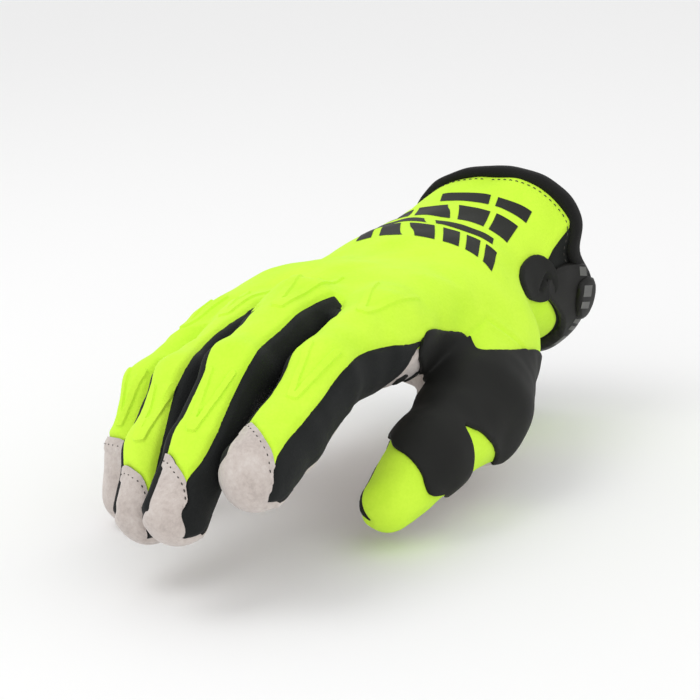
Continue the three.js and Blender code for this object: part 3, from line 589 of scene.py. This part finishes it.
def cut(m, values):
    # splits every triangle that the values cross, exactly where they are zero
    v, t = m["v"], m["t"]
    values = values.copy()
    for a, b in ((0, 1), (1, 2), (2, 0)):
        ga, gb = values[t[:, a]], values[t[:, b]]
        cross = ga * gb < 0
        share = np.where(cross, ga / np.where(cross, ga - gb, 1), 0.5)
        values[t[cross & (share < snap[0]), a]] = 0
        values[t[cross & (share > snap[1]), b]] = 0
    sign = np.sign(values)[t]
    cross = sign * np.roll(sign, -1, 1) < 0
    hits = cross.sum(1)
    rows = np.nonzero(hits)[0]
    if not len(rows):
        return m, values
    edges = np.sort(np.stack([t, np.roll(t, -1, 1)], 2), 2)
    used = edges[cross]
    keys, back = np.unique(used, axis=0, return_inverse=True)
    back = back.ravel()
    ga, gb = values[keys[:, 0]], values[keys[:, 1]]
    share = (ga / (ga - gb))[:, None]
    mix = lambda table: np.concatenate([table, table[keys[:, 0]] * (1 - share) + table[keys[:, 1]] * share])
    made = np.full(t.shape, -1)
    made[cross] = len(v) + back
    new = {"v": mix(v), "n": mix(m["n"]), "f": mix(m["f"])}
    new["n"] = unit(new["n"])
    values = np.concatenate([values, np.zeros(len(keys))])
    two, one = np.nonzero(hits == 2)[0], np.nonzero(hits == 1)[0]
    parts = [t[hits == 0]]
    lone = np.argmax(cross[two] & np.roll(cross[two], 1, 1), 1)
    grab = lambda table, r, c: table[r, c % 3]
    v0, v1, v2 = (grab(t, two, lone + i) for i in range(3))
    a, b = grab(made, two, lone), grab(made, two, lone + 2)
    parts += [np.stack(x, 1) for x in ((v0, a, b), (a, v1, v2), (a, v2, b))]
    edge = np.argmax(cross[one], 1)
    v1, v2, v0 = (grab(t, one, edge + i) for i in range(3))
    mid = grab(made, one, edge)
    parts += [np.stack(x, 1) for x in ((v0, v1, mid), (v0, mid, v2))]
    new["t"] = np.concatenate(parts)
    return new, values


def cutField(m, name, level=0.0):
    column = names.index(name)
    new, values = cut(m, m["f"][:, column] - level)
    new = dict(new)
    new["f"] = new["f"].copy()
    new["f"][:, column] = values + level
    return new


def insideOf(m, name, level=0.0):
    g = m["f"][:, names.index(name)] - level
    g = np.clip(g, -5, 5)
    return g[m["t"]].sum(1) < 0


def onlyWhere(m, keep):
    t = m["t"][keep]
    used, back = np.unique(t, return_inverse=True)
    return {"v": m["v"][used], "n": m["n"][used], "f": m["f"][used], "t": back.reshape(-1, 3), "from": used}


def loose(t):
    # the edges that belong to one triangle, in their own direction
    edges = np.concatenate([t[:, [0, 1]], t[:, [1, 2]], t[:, [2, 0]]])
    keys = np.sort(edges, 1)
    _, first, counts = np.unique(keys, axis=0, return_index=True, return_counts=True)
    return edges[first[counts == 1]]


mesh = cutField(mesh, "mouth")
mesh = onlyWhere(mesh, insideOf(mesh, "mouth"))
plain = {k: mesh[k].copy() for k in ("v", "n", "f", "t")}
for name in order:
    mesh = cutField(mesh, name)
for level in (0.0, -ribEdge):
    mesh = cutField(mesh, "rib", level)
label = np.full(len(mesh["t"]), len(order))
for k in reversed(range(len(order))):
    label[insideOf(mesh, order[k])] = k
print("panels cut", len(mesh["v"]), len(mesh["t"]))

# soft relief of worn cloth, the same for everything that lies on it
relief = {
    "sets": [(34, 0.32, 7), (17, 0.16, 9), (9, 0.06, 10)],  # length, height, count
    "spread": (0.8, 1.25),
}
waves = []
for length, height, count in relief["sets"]:
    for _ in range(count):
        way = unit(rng.normal(size=3)) * 2 * math.pi
        way = way / (length * rng.uniform(*relief["spread"]))
        waves.append((way, rng.uniform(0, 6.28), height / math.sqrt(count) * 1.4))


def clothLift(p):
    total = np.zeros(len(p))
    for way, start, height in waves:
        total += height * np.sin(p @ way + start)
    return total


def column(m, name):
    return m["f"][:, names.index(name)]


def nearestGap(points, targets, reach):
    tree = KDTree(len(targets))
    for i, p in enumerate(targets):
        tree.insert(p, i)
    tree.balance()
    return np.array([min(tree.find(p)[2], reach) for p in points])


def seamPoints(m, labels):
    t = m["t"]
    edges = np.concatenate([t[:, [0, 1]], t[:, [1, 2]], t[:, [2, 0]]])
    owner = np.tile(np.arange(len(t)), 3)
    keys = np.sort(edges, 1)
    _, back = np.unique(keys, axis=0, return_inverse=True)
    back = back.ravel()
    least = np.full(back.max() + 1, 10**6)
    most = np.full(back.max() + 1, -1)
    np.minimum.at(least, back, labels[owner])
    np.maximum.at(most, back, labels[owner])
    seam = (least != most)[back]
    return np.unique(keys[seam])


onSeam = seamPoints(mesh, label)
seamGap = nearestGap(mesh["v"], mesh["v"][onSeam], 6.0)
seamForm = {"deep": 0.55, "wide": 0.9, "swell": 0.22, "swellAt": 2.2, "swellWide": 1.2}
sink = seamForm["swell"] * np.exp(-(((seamGap - seamForm["swellAt"]) / seamForm["swellWide"]) ** 2))
sink = sink - seamForm["deep"] * np.exp(-((seamGap / seamForm["wide"]) ** 2))
ribAway = column(mesh, "rib")
rise = ribRise * np.clip(-ribAway / ribEdge, 0, 1)
capAway = column(mesh, "cap")
mesh["skin"] = mesh["v"] + mesh["n"] * clothLift(mesh["v"])[:, None]
print("relief made")


def newObject(name, v, faces, materials, index=None, sharp=42):
    data = bpy.data.meshes.new(name)
    faces = [tuple(int(i) for i in f) for f in faces] if not isinstance(faces, np.ndarray) else faces.tolist()
    data.from_pydata((np.asarray(v) * mm).tolist(), [], faces)
    for m in materials:
        data.materials.append(m)
    if index is not None:
        data.polygons.foreach_set("material_index", np.asarray(index, np.int32))
    data.polygons.foreach_set("use_smooth", np.ones(len(data.polygons), bool))
    data.set_sharp_from_angle(angle=sharp * rad)
    data.update()
    obj = bpy.data.objects.new(name, data)
    bpy.context.scene.collection.objects.link(obj)
    return obj


# materials
def newMaterial(name, color, rough):
    m = bpy.data.materials.new(name)
    m.use_nodes = True
    tree = m.node_tree
    shader = tree.nodes["Principled BSDF"]
    shader.inputs["Roughness"].default_value = rough
    shader.inputs["Base Color"].default_value = (*color, 1)
    return m, tree, shader


def node(tree, kind, **settings):
    n = tree.nodes.new(kind)
    for key, value in settings.items():
        if key in n.inputs:
            n.inputs[key].default_value = value
        else:
            setattr(n, key, value)
    return n


def noiseOf(tree, where, scale, detail=2.0, rough=0.5):
    n = node(tree, "ShaderNodeTexNoise", Scale=scale, Detail=detail, Roughness=rough)
    tree.links.new(where, n.inputs["Vector"])
    return n.outputs["Fac"]


def ramp(tree, value, stops):
    n = node(tree, "ShaderNodeValToRGB")
    while len(n.color_ramp.elements) < len(stops):
        n.color_ramp.elements.new(0.5)
    for e, (at, color) in zip(n.color_ramp.elements, stops):
        e.position = at
        e.color = (*color, 1)
    tree.links.new(value, n.inputs["Fac"])
    return n.outputs["Color"]


def mathOf(tree, kind, a, b=None):
    n = node(tree, "ShaderNodeMath", operation=kind)
    for socket, value in zip(n.inputs, (a, b)):
        if value is None:
            continue
        if isinstance(value, (int, float)):
            socket.default_value = value
        else:
            tree.links.new(value, socket)
    return n.outputs[0]


def bumpOf(tree, shader, height, distance, strength):
    n = node(tree, "ShaderNodeBump", Distance=distance, Strength=strength)
    tree.links.new(height, n.inputs["Height"])
    tree.links.new(n.outputs["Normal"], shader.inputs["Normal"])


def place(tree):
    return node(tree, "ShaderNodeTexCoord").outputs["Object"]


def knit(name, light, dark, rough, pitch, depth, sheen=0.3, paintedGlow=0.0):
    # small loops in rows with slow changes of shade, and an optional painted glow (emission in the light
    # colour)
    m, tree, shader = newMaterial(name, light, rough)
    where = place(tree)
    loops = node(tree, "ShaderNodeTexVoronoi", Scale=1 / (pitch * mm), Randomness=0.55)
    tree.links.new(where, loops.inputs["Vector"])
    slow = noiseOf(tree, where, 38, 3)
    fine = noiseOf(tree, where, 900, 2)
    shade = mathOf(tree, "ADD", mathOf(tree, "MULTIPLY", slow, 0.7), mathOf(tree, "MULTIPLY", fine, 0.3))
    tree.links.new(ramp(tree, shade, [(0.3, dark), (0.62, light)]), shader.inputs["Base Color"])
    dips = mathOf(tree, "MULTIPLY", loops.outputs["Distance"], -1.0)
    height = mathOf(tree, "ADD", dips, mathOf(tree, "MULTIPLY", fine, 0.4))
    bumpOf(tree, shader, height, depth * mm, 0.6)
    shader.inputs["Specular IOR Level"].default_value = 0.2
    shader.inputs["Sheen Weight"].default_value = sheen
    shader.inputs["Sheen Roughness"].default_value = 0.45
    # painted glow: a faint emission in the cloth's own colour makes it brighter than its lamps alone would
    if paintedGlow:
        shader.inputs["Emission Color"].default_value = (*light, 1)
        shader.inputs["Emission Strength"].default_value = paintedGlow
    return m


def suedeOf(name):
    m, tree, shader = newMaterial(name, (0.56, 0.5, 0.46), 0.92)
    where = place(tree)
    patchy = noiseOf(tree, where, 120, 4, 0.6)
    grain = noiseOf(tree, where, 700, 5, 0.7)
    fleck = noiseOf(tree, where, 2600, 2)
    shade = mathOf(tree, "ADD", mathOf(tree, "MULTIPLY", patchy, 0.5), mathOf(tree, "MULTIPLY", grain, 0.5))
    shades = [(0.32, (0.42, 0.36, 0.33)), (0.5, (0.56, 0.49, 0.45)), (0.68, (0.66, 0.6, 0.56))]
    tree.links.new(ramp(tree, shade, shades), shader.inputs["Base Color"])
    height = mathOf(tree, "ADD", grain, mathOf(tree, "MULTIPLY", fleck, 0.6))
    bumpOf(tree, shader, height, 0.35 * mm, 0.55)
    shader.inputs["Sheen Weight"].default_value = 0.35
    shader.inputs["Sheen Roughness"].default_value = 0.6
    return m


def rubberOf(name, color, rough, grainDepth):
    m, tree, shader = newMaterial(name, color, rough)
    where = place(tree)
    grain, smear = noiseOf(tree, where, 1500, 3, 0.6), noiseOf(tree, where, 60, 3)
    dark = tuple(c * 0.75 for c in color)
    pale = tuple(c * 1.35 + 0.002 for c in color)
    tree.links.new(ramp(tree, smear, [(0.3, dark), (0.7, pale)]), shader.inputs["Base Color"])
    worn = ramp(tree, smear, [(0.2, (rough - 0.08,) * 3), (0.8, (rough + 0.08,) * 3)])
    tree.links.new(worn, shader.inputs["Roughness"])
    bumpOf(tree, shader, grain, grainDepth * mm, 0.5)
    shader.inputs["Specular IOR Level"].default_value = 0.3
    return m


yellow = (0.62, 0.93, 0.055)
# the yellow knit gets a painted glow of strength 0.05, so it reads brighter than lit cloth
cloth = knit("yellow_knit", yellow, (0.53, 0.86, 0.035), 0.85, 0.75, 0.12, 0.05, 0.05)
stretch = knit("black_stretch_knit", (0.0125, 0.014, 0.0138), (0.008, 0.009, 0.009), 0.8, 0.6, 0.14, 0.03)
wristCloth = knit("black_wrist_knit", (0.011, 0.0125, 0.011), (0.007, 0.008, 0.007), 0.75, 0.6, 0.14, 0.03)
hemCloth = knit("black_hem_knit", (0.009, 0.009, 0.0085), (0.006, 0.006, 0.0057), 0.8, 0.7, 0.18, 0.03)
lining = knit("grey_lining", (0.05, 0.05, 0.048), (0.03, 0.03, 0.029), 0.95, 1.0, 0.2, 0.1)
suede = suedeOf("palm_suede")
patchRubber = rubberOf("patch_rubber", (0.006, 0.0064, 0.0052), 0.72, 0.05)
strapRubber = rubberOf("strap_rubber", (0.006, 0.0058, 0.005), 0.42, 0.03)
printInk = rubberOf("back_print", (0.01, 0.011, 0.008), 0.6, 0.03)
greyInk = rubberOf("strap_print", (0.12, 0.12, 0.115), 0.35, 0.02)
threadDark = rubberOf("dark_thread", (0.05, 0.045, 0.04), 0.8, 0.05)
print("materials made")

# panels: cloth or leather with its own thickness, a soft valley along every seam
look = {
    "index_side_gusset": (stretch, "black_stretch"), "gusset_index_middle": (stretch, "black_stretch"),
    "gusset_middle_ring": (stretch, "black_stretch"), "gusset_ring_pinky": (stretch, "black_stretch"),
    "thumb_gusset": (stretch, "black_stretch"), "thumb_palm": (suede, "palm_leather"),
    "thumb_back_panel": (cloth, "yellow_cloth"), "wrist_panel": (wristCloth, "wrist_cloth"),
    "palm_panel": (suede, "palm_leather"), "back_panel": (cloth, "yellow_cloth"),
}


def shell(name, m, outer, inner, finish, inside, sharp=42):
    # outer and inner faces with a rim round every open edge
    n = len(m["v"])
    rim = loose(m["t"])
    faces = [m["t"], m["t"][:, ::-1] + n]
    walls = np.stack([rim[:, 1], rim[:, 0], rim[:, 0] + n, rim[:, 1] + n], 1)
    index = np.concatenate([np.zeros(len(m["t"])), np.ones(len(m["t"]) + len(walls))])
    everything = faces[0].tolist() + faces[1].tolist() + walls.tolist()
    return newObject(name, np.concatenate([outer, inner]), everything, [finish, inside], index, sharp)


capLip = {"wide": 4, "deep": -0.1, "lift": 0.35}  # the caps' edge lies a little proud
pieces = {}
for k, name in enumerate([*order, "back_panel"]):
    part = onlyWhere(mesh, label == k)
    base = mesh["skin"][part["from"]]
    lift = sink[part["from"]].copy()
    if name == "back_panel":
        lift = lift + rise[part["from"]]
    if name == "palm_panel":
        edge = capAway[part["from"]]
        proud = np.maximum(lift, capLip["deep"]) + capLip["lift"]
        lift = np.where(np.abs(edge) < capLip["wide"], proud, lift)
    outer = base + part["n"] * lift[:, None]
    inner = base - part["n"] * wall
    finish, slotName = look[name]
    pieces[name] = shell(name, part, outer, inner, finish, lining)
    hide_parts(name)
    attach(pieces[name], "root")
print("panels made", [len(o.data.polygons) for o in pieces.values()])


# pieces laid over the cloth: rubber patch, round lobe, strap and its end
laid = {"under": 0.35, "edge": 0.55, "full": 0.45}  # depth into the cloth, shares of the height


def laidOver(name, fieldName, lift, height, finish, bevel=0.8):
    # height is a number, or a function of the place
    m = cutField(plain, fieldName)
    m = cutField(m, fieldName, -bevel)
    m = onlyWhere(m, insideOf(m, fieldName))
    skin = m["v"] + m["n"] * clothLift(m["v"])[:, None]
    g = -column(m, fieldName)
    full = np.clip(g / bevel, 0, 1)
    thick = height(m["v"]) if callable(height) else height
    outer = skin + m["n"] * (lift + thick * (laid["edge"] + laid["full"] * np.sqrt(full)))[:, None]
    inner = skin + m["n"] * (lift - laid["under"])
    obj = shell(name, m, outer, inner, finish, finish, 50)
    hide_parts(name)
    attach(obj, "root")
    return obj


pieces["thumb_patch"] = laidOver("thumb_patch", "patch", 0.25, patch["thick"], patchRubber)

lobe = {"thick": 1.6, "deep": 1.6, "wide": 0.95, "fold": [(56.5, -31), (52.5, -27), (56, -24.5), (62, -22.8)]}


def lobeHeight(p):
    # a small pinched fold, two lines that meet towards the back of the hand
    away = lineField(wristTurn(p) * degreeWide, p[:, 1], lobe["fold"])
    return lobe["thick"] - lobe["deep"] * np.exp(-((away / lobe["wide"]) ** 2))


pieces["wrist_patch"] = laidOver("wrist_patch", "lobe", 0.25, lobeHeight, patchRubber)


def strapHeight(p):
    # thin where the strap lies on the cuff, thick towards the opening
    return np.interp(p[:, 1], (-24, -6), (strap["edge"], strap["thick"]))


pieces["wrist_strap"] = laidOver("wrist_strap", "strap", strap["lift"], strapHeight, strapRubber,
                                 1.0)
pieces["strap_tab"] = laidOver("strap_tab", "tab", tab["lift"], tab["thick"], strapRubber,
                               1.2)
print("laid-over pieces made")

# hem round the opening: a folded band
hem = {"width": 7, "thick": 4.4, "steps": 180, "sides": 14, "back": 2.7,
       "waves": (0.18, 0.12), "swell": 0.7, "swellAt": 30, "swellWide": 20}


def sectionPoint(y, turn, grow):
    cx, cz, half, rise, fall, tilt = (float(x[0]) for x in handRow(np.array([y])))
    n = hand["square"]
    soft = lambda x: math.copysign(abs(x) ** (2 / n), x)
    s, c = soft(math.sin(turn)), soft(math.cos(turn))
    across = s * (half + grow)
    up = c * ((rise if c > 0 else fall) + grow)
    leanUp, leanFlat = math.sin(tilt * rad), math.cos(tilt * rad)
    return np.array([cx + across * leanFlat - up * leanUp, y, cz + across * leanUp + up * leanFlat])


def ringRound(back, steps):
    # points of the form a distance back from the cuff's edge, all the way round
    p = np.array([sectionPoint(-back, 2 * math.pi * i / steps, 0) for i in range(steps)])
    p[:, 1] -= edgeDip(wristTurn(p))
    level = p[:, 1].copy()
    p = settle(p, 6)
    p[:, 1] = level
    return settle(p, 2)


hemVerts, hemFaces = [], []
hemRing = ringRound(hem["back"], hem["steps"])
hemOut = slopeOf(hemRing)
hemOut[:, 1] = 0
hemOut = unit(hemOut)
for i in range(hem["steps"]):
    turn = 2 * math.pi * i / hem["steps"]
    swell = math.exp(-(((math.degrees(turn) - hem["swellAt"]) / hem["swellWide"]) ** 2))
    wobble = hem["waves"][0] * math.sin(7 * turn + 1) + hem["waves"][1] * math.sin(17 * turn)
    wobble = wobble + hem["swell"] * swell
    for j in range(hem["sides"]):
        q = 2 * math.pi * j / hem["sides"]
        y = math.copysign(abs(math.cos(q)) ** 0.7, math.cos(q)) * hem["width"] / 2
        r = math.copysign(abs(math.sin(q)) ** 0.8, math.sin(q)) * (hem["thick"] / 2 + wobble)
        hemVerts.append(hemRing[i] + hemOut[i] * (r + 0.1) + np.array([0, y, 0]))
for i in range(hem["steps"]):
    for j in range(hem["sides"]):
        i2, j2 = (i + 1) % hem["steps"], (j + 1) % hem["sides"]
        n = hem["sides"]
        hemFaces.append((i * n + j, i * n + j2, i2 * n + j2, i2 * n + j))
pieces["cuff_binding"] = newObject("cuff_binding", hemVerts, hemFaces, [hemCloth], None, 60)
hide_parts("cuff_binding")
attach(pieces["cuff_binding"], "root")
print("hem made")


# grips on the leather of the web
def surfaceFrom(points, lift):
    # points settled on the form, with the cloth's relief
    p = settle(np.array(points, float), 6)
    n = unit(slopeOf(p))
    return p + n * (clothLift(p) + lift)[:, None], n


grip = {
    "long": 3.8, "wide": 2.6, "high": 0.8, "lift": 0.1, "points": 24,
    "shift": (2.6, 2.1, 1.5),  # up onto the side that the photograph shows
    # each ring's share of the width and of the height
    "rings": [(0.0, 1.0), (0.55, 1.0), (0.9, 0.8), (1.0, 0.35), (1.0, 0.0)],
}
for name in ("web_grip_1", "web_grip_2"):
    low, high = (np.array(x) * 1000 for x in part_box(name))
    middle = settle(((low + high) / 2 + np.array(grip["shift"]))[None], 6)
    normal = unit(slopeOf(middle))[0]
    along = unit(np.array([0, -1, 0]) - normal * -normal[1])
    across = np.cross(normal, along)
    n, gv, gf = grip["points"], [], []
    for share, _ in grip["rings"]:
        for j in range(n):
            q = 2 * math.pi * j / n
            six = 1 / max(abs(math.cos(((q + math.pi / 6) % (math.pi / 3)) - math.pi / 6)), 0.5)
            r = (0.35 + 0.65 * share) * six * 0.9
            sideways = across * math.sin(q) * r * grip["wide"]
            gv.append(middle[0] + along * math.cos(q) * r * grip["long"] + sideways)
    settled, normals = surfaceFrom(gv, 0.0)
    heights = np.repeat([h for _, h in grip["rings"]], n)
    gv = settled + normals * (grip["lift"] + grip["high"] * heights)[:, None]
    for k in range(len(grip["rings"]) - 1):
        for j in range(n):
            j2 = (j + 1) % n
            gf.append((k * n + j, (k + 1) * n + j, (k + 1) * n + j2, k * n + j2))
    gf.append(tuple(range(n - 1, -1, -1)))
    pieces[name] = newObject(name, gv, gf, [patchRubber], None, 40)
    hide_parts(name)
    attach(pieces[name], "root")
print("grips made")


# stitches along the cap edges and the hem
def traced(m, name, level, where=None):
    # ordered points along a line of the field, as chains
    g = column(m, name) - level
    t = m["t"]
    s = g[t] < 0
    hits = s.any(1) & ~s.all(1)
    if where is not None:
        hits &= where[t].all(1)
    joins = {}
    points = {}
    for tri in t[hits]:
        ends = []
        for a, b in ((0, 1), (1, 2), (2, 0)):
            i, j = sorted((int(tri[a]), int(tri[b])))
            if (g[i] < 0) != (g[j] < 0):
                w = g[i] / (g[i] - g[j])
                points[i, j] = (m["v"][i] * (1 - w) + m["v"][j] * w, m["n"][i] * (1 - w) + m["n"][j] * w)
                ends.append((i, j))
        if len(ends) == 2:
            joins.setdefault(ends[0], []).append(ends[1])
            joins.setdefault(ends[1], []).append(ends[0])
    chains, seen = [], set()
    for start in sorted(joins, key=lambda k: len(joins[k])):
        if start in seen:
            continue
        chain, here = [start], start
        seen.add(start)
        while True:
            nxt = [q for q in joins[here] if q not in seen]
            if not nxt:
                break
            here = nxt[0]
            seen.add(here)
            chain.append(here)
        if len(chain) > 4:
            chains.append((np.array([points[c][0] for c in chain]),
                           unit(np.array([points[c][1] for c in chain]))))
    return chains


capStitch = {"inside": 2.3, "within": 96, "pitch": 2.3, "length": 1.25, "thick": 0.42, "lift": 0.38}
hemStitch = {"back": 7.3, "steps": 360, "pitch": 2.6, "length": 1.7, "thick": 0.4, "lift": 0.12}


def stitchesOn(chains, stitch):
    v, f = [], []
    sides, pitch, length, thick = 6, stitch["pitch"], stitch["length"], stitch["thick"]
    for pts, normals in chains:
        run = np.concatenate([[0], np.cumsum(np.linalg.norm(np.diff(pts, axis=0), axis=1))])
        for start in np.arange(pitch * 0.5, run[-1] - length, pitch):
            spots = np.linspace(start, start + length, 5)
            line = np.stack([np.interp(spots, run, pts[:, i]) for i in range(3)], 1)
            normal = unit(np.stack([np.interp(spots, run, normals[:, i]) for i in range(3)], 1))
            ahead = unit(np.gradient(line, axis=0))
            across = np.cross(normal, ahead)
            fat = np.array([0.15, 0.85, 1.0, 0.85, 0.15]) * thick / 2
            dip = np.array([-0.6, 0.1, 0.35, 0.1, -0.6]) * thick
            base = len(v)
            for k in range(5):
                mid = line[k] + normal[k] * (stitch["lift"] + dip[k] + clothLift(line[k][None])[0])
                for j in range(sides):
                    q = 2 * math.pi * j / sides
                    v.append(mid + across[k] * math.cos(q) * fat[k] + normal[k] * math.sin(q) * fat[k])
            for k in range(4):
                for j in range(sides):
                    j2 = (j + 1) % sides
                    f.append((base + k * sides + j, base + k * sides + j2, base + (k + 1) * sides + j2,
                              base + (k + 1) * sides + j))
            f.append(tuple(base + j for j in reversed(range(sides))))
            f.append(tuple(base + 4 * sides + j for j in range(sides)))
    return v, f


dorsal = np.zeros(len(mesh["v"]), bool)
dorsal[np.unique(mesh["t"][label == order.index("palm_panel")])] = True
dorsal &= np.abs(column(mesh, "turn")) < capStitch["within"]
v, f = stitchesOn(traced(mesh, "cap", -capStitch["inside"], dorsal), capStitch)
capStitches = newObject("cap_stitches", v, f, [threadDark], None, 60)
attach(capStitches, "root")
hemLine = ringRound(hemStitch["back"], hemStitch["steps"])
hemLine = np.concatenate([hemLine, hemLine[:1]])
v, f = stitchesOn([(hemLine, unit(slopeOf(hemLine)))], hemStitch)
hemStitches = newObject("hem_stitches", v, f, [threadDark], None, 60)
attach(hemStitches, "root")
print("stitches made", len(capStitches.data.polygons), len(hemStitches.data.polygons))

# plain slanted bars printed on the back, and short bars on the strap
backPrint = {
    "lift": 0.16, "radius": 33.0, "cell": 1.2,
    "rows": [  # turn at the left end, y, length along the hand, bar width, slant, how many, gap
        {"left": -16, "y": -17, "length": 6, "width": 15, "slant": 2.6, "count": 2, "gap": 2.6},
        {"left": -46, "y": -27, "length": 12, "width": 11, "slant": 5, "count": 4, "gap": 2.6},
        {"left": -46, "y": -43.5, "length": 5, "width": 24.6, "slant": 2.3, "count": 2, "gap": 2.6},
        {"left": -38, "y": -51, "length": 13, "width": 6.5, "slant": 6, "count": 6, "gap": 3},
    ],
}


def onBack(u, y):
    # u is the distance round the back from its middle line
    return sectionPoint(y, u / backPrint["radius"], 0)


pv, pf = [], []
for row in backPrint["rows"]:
    u = row["left"] * rad * backPrint["radius"]
    for i in range(row["count"]):
        cellsU = max(3, int(row["width"] / backPrint["cell"]))
        cellsY = max(3, int(row["length"] / backPrint["cell"]))
        base = len(pv)
        for a in range(cellsU + 1):
            for b in range(cellsY + 1):
                y = row["y"] - row["length"] * b / cellsY
                pv.append(onBack(u + row["width"] * a / cellsU + row["slant"] * b / cellsY, y))
        for a in range(cellsU):
            for b in range(cellsY):
                c = base + a * (cellsY + 1) + b
                pf.append((c, c + 1, c + cellsY + 2, c + cellsY + 1))
        u += row["width"] + row["gap"]
settled, normals = surfaceFrom(pv, backPrint["lift"])
printPiece = newObject("back_print", settled, pf, [printInk], None, 60)
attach(printPiece, "root")

strapBars = {  # turn at both ends, y at both edges
    "bars": [(87, 93, -9.5, -6.5), (99, 106, -9, -4.5), (109, 113, -9, -4.5), (121, 124, -7.5, -4),
             (126, 129, -7.2, -4), (134, 142, -6.4, -4)],
    "slant": 1.2, "lift": 0.12, "tab": (96, 116.5),
}
sv, sf = [], []
for start, end, low, high in strapBars["bars"]:
    base, cells = len(sv), 6
    for a in range(cells + 1):
        for b in range(cells + 1):
            y = low + (high - low) * b / cells
            spin = (start + (end - start) * a / cells + strapBars["slant"] * b / cells) * rad
            cx, cz, half, above, below, _ = (float(q[0]) for q in handRow(np.array([y])))
            tallHere = above if math.cos(spin) > 0 else below
            sv.append((cx + math.sin(spin) * half, y, cz + math.cos(spin) * tallHere))
    for a in range(cells):
        for b in range(cells):
            k = base + a * (cells + 1) + b
            sf.append((k, k + 1, k + cells + 2, k + cells + 1))
sv = settle(np.array(sv), 6)
around = wristTurn(sv)
overTab = (around > strapBars["tab"][0]) & (around < strapBars["tab"][1])
tall = np.where(overTab, tab["lift"] + tab["thick"], strap["lift"] + strapHeight(sv))
sv = sv + unit(slopeOf(sv)) * (clothLift(sv) + tall + strapBars["lift"])[:, None]
strapPrint = newObject("strap_print", sv, sf, [greyInk], None, 60)
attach(strapPrint, "root")
print("print made")

# floor, light and camera
scene = bpy.context.scene
floorForm = {"half": 6, "gap": 0.0006}
low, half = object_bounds()[0][2] - floorForm["gap"], floorForm["half"]
floorMesh = bpy.data.meshes.new("floor")
floorMesh.from_pydata([(-half, -half, low), (half, -half, low), (half, half, low), (-half, half, low)], [],
                      [(0, 1, 2, 3)])
floor = bpy.data.objects.new("floor", floorMesh)
scene.collection.objects.link(floor)
floorMaterial, _, _ = newMaterial("pale_floor", (0.93, 0.93, 0.93), 0.9)
floorMesh.materials.append(floorMaterial)
world = bpy.data.worlds.new("studio")
world.use_nodes = True
world.node_tree.nodes["Background"].inputs["Color"].default_value = (1, 1, 1, 1)
world.node_tree.nodes["Background"].inputs["Strength"].default_value = 0.9
scene.world = world


def softLight(name, where, aim, size, power):
    data = bpy.data.lights.new(name, "AREA")
    data.shape, data.size, data.energy = "DISK", size, power
    obj = bpy.data.objects.new(name, data)
    obj.location = where
    obj.rotation_euler = (Vector(aim) - Vector(where)).to_track_quat("-Z", "Y").to_euler()
    scene.collection.objects.link(obj)


softLight("key", (-0.5, -0.5, 1.1), (0, -0.1, 0), 0.8, 3.2)
softLight("fill", (1.0, -0.6, 0.5), (0, -0.1, 0), 0.9, 1.2)

view = {  # the photograph's place: right, up and back of the picture in the part's frame
    "at": (0.35258, -0.64908, 0.16099), "right": (0.84344, 0.5336, -0.06226),
    "up": (-0.08673, 0.24962, 0.96445),
    "back": (0.53017, -0.80806, 0.25682), "lens": 97.93,
}
cameraData = bpy.data.cameras.new("camera")
cameraData.lens, cameraData.sensor_width, cameraData.clip_start = view["lens"], 36, 0.05
camera = bpy.data.objects.new("camera", cameraData)
axes = Matrix((view["right"], view["up"], view["back"])).transposed().to_4x4()
camera.matrix_world = Matrix.Translation(view["at"]) @ axes
scene.collection.objects.link(camera)
scene.camera = camera
scene.view_settings.view_transform = "Standard"
print("camera and light set")
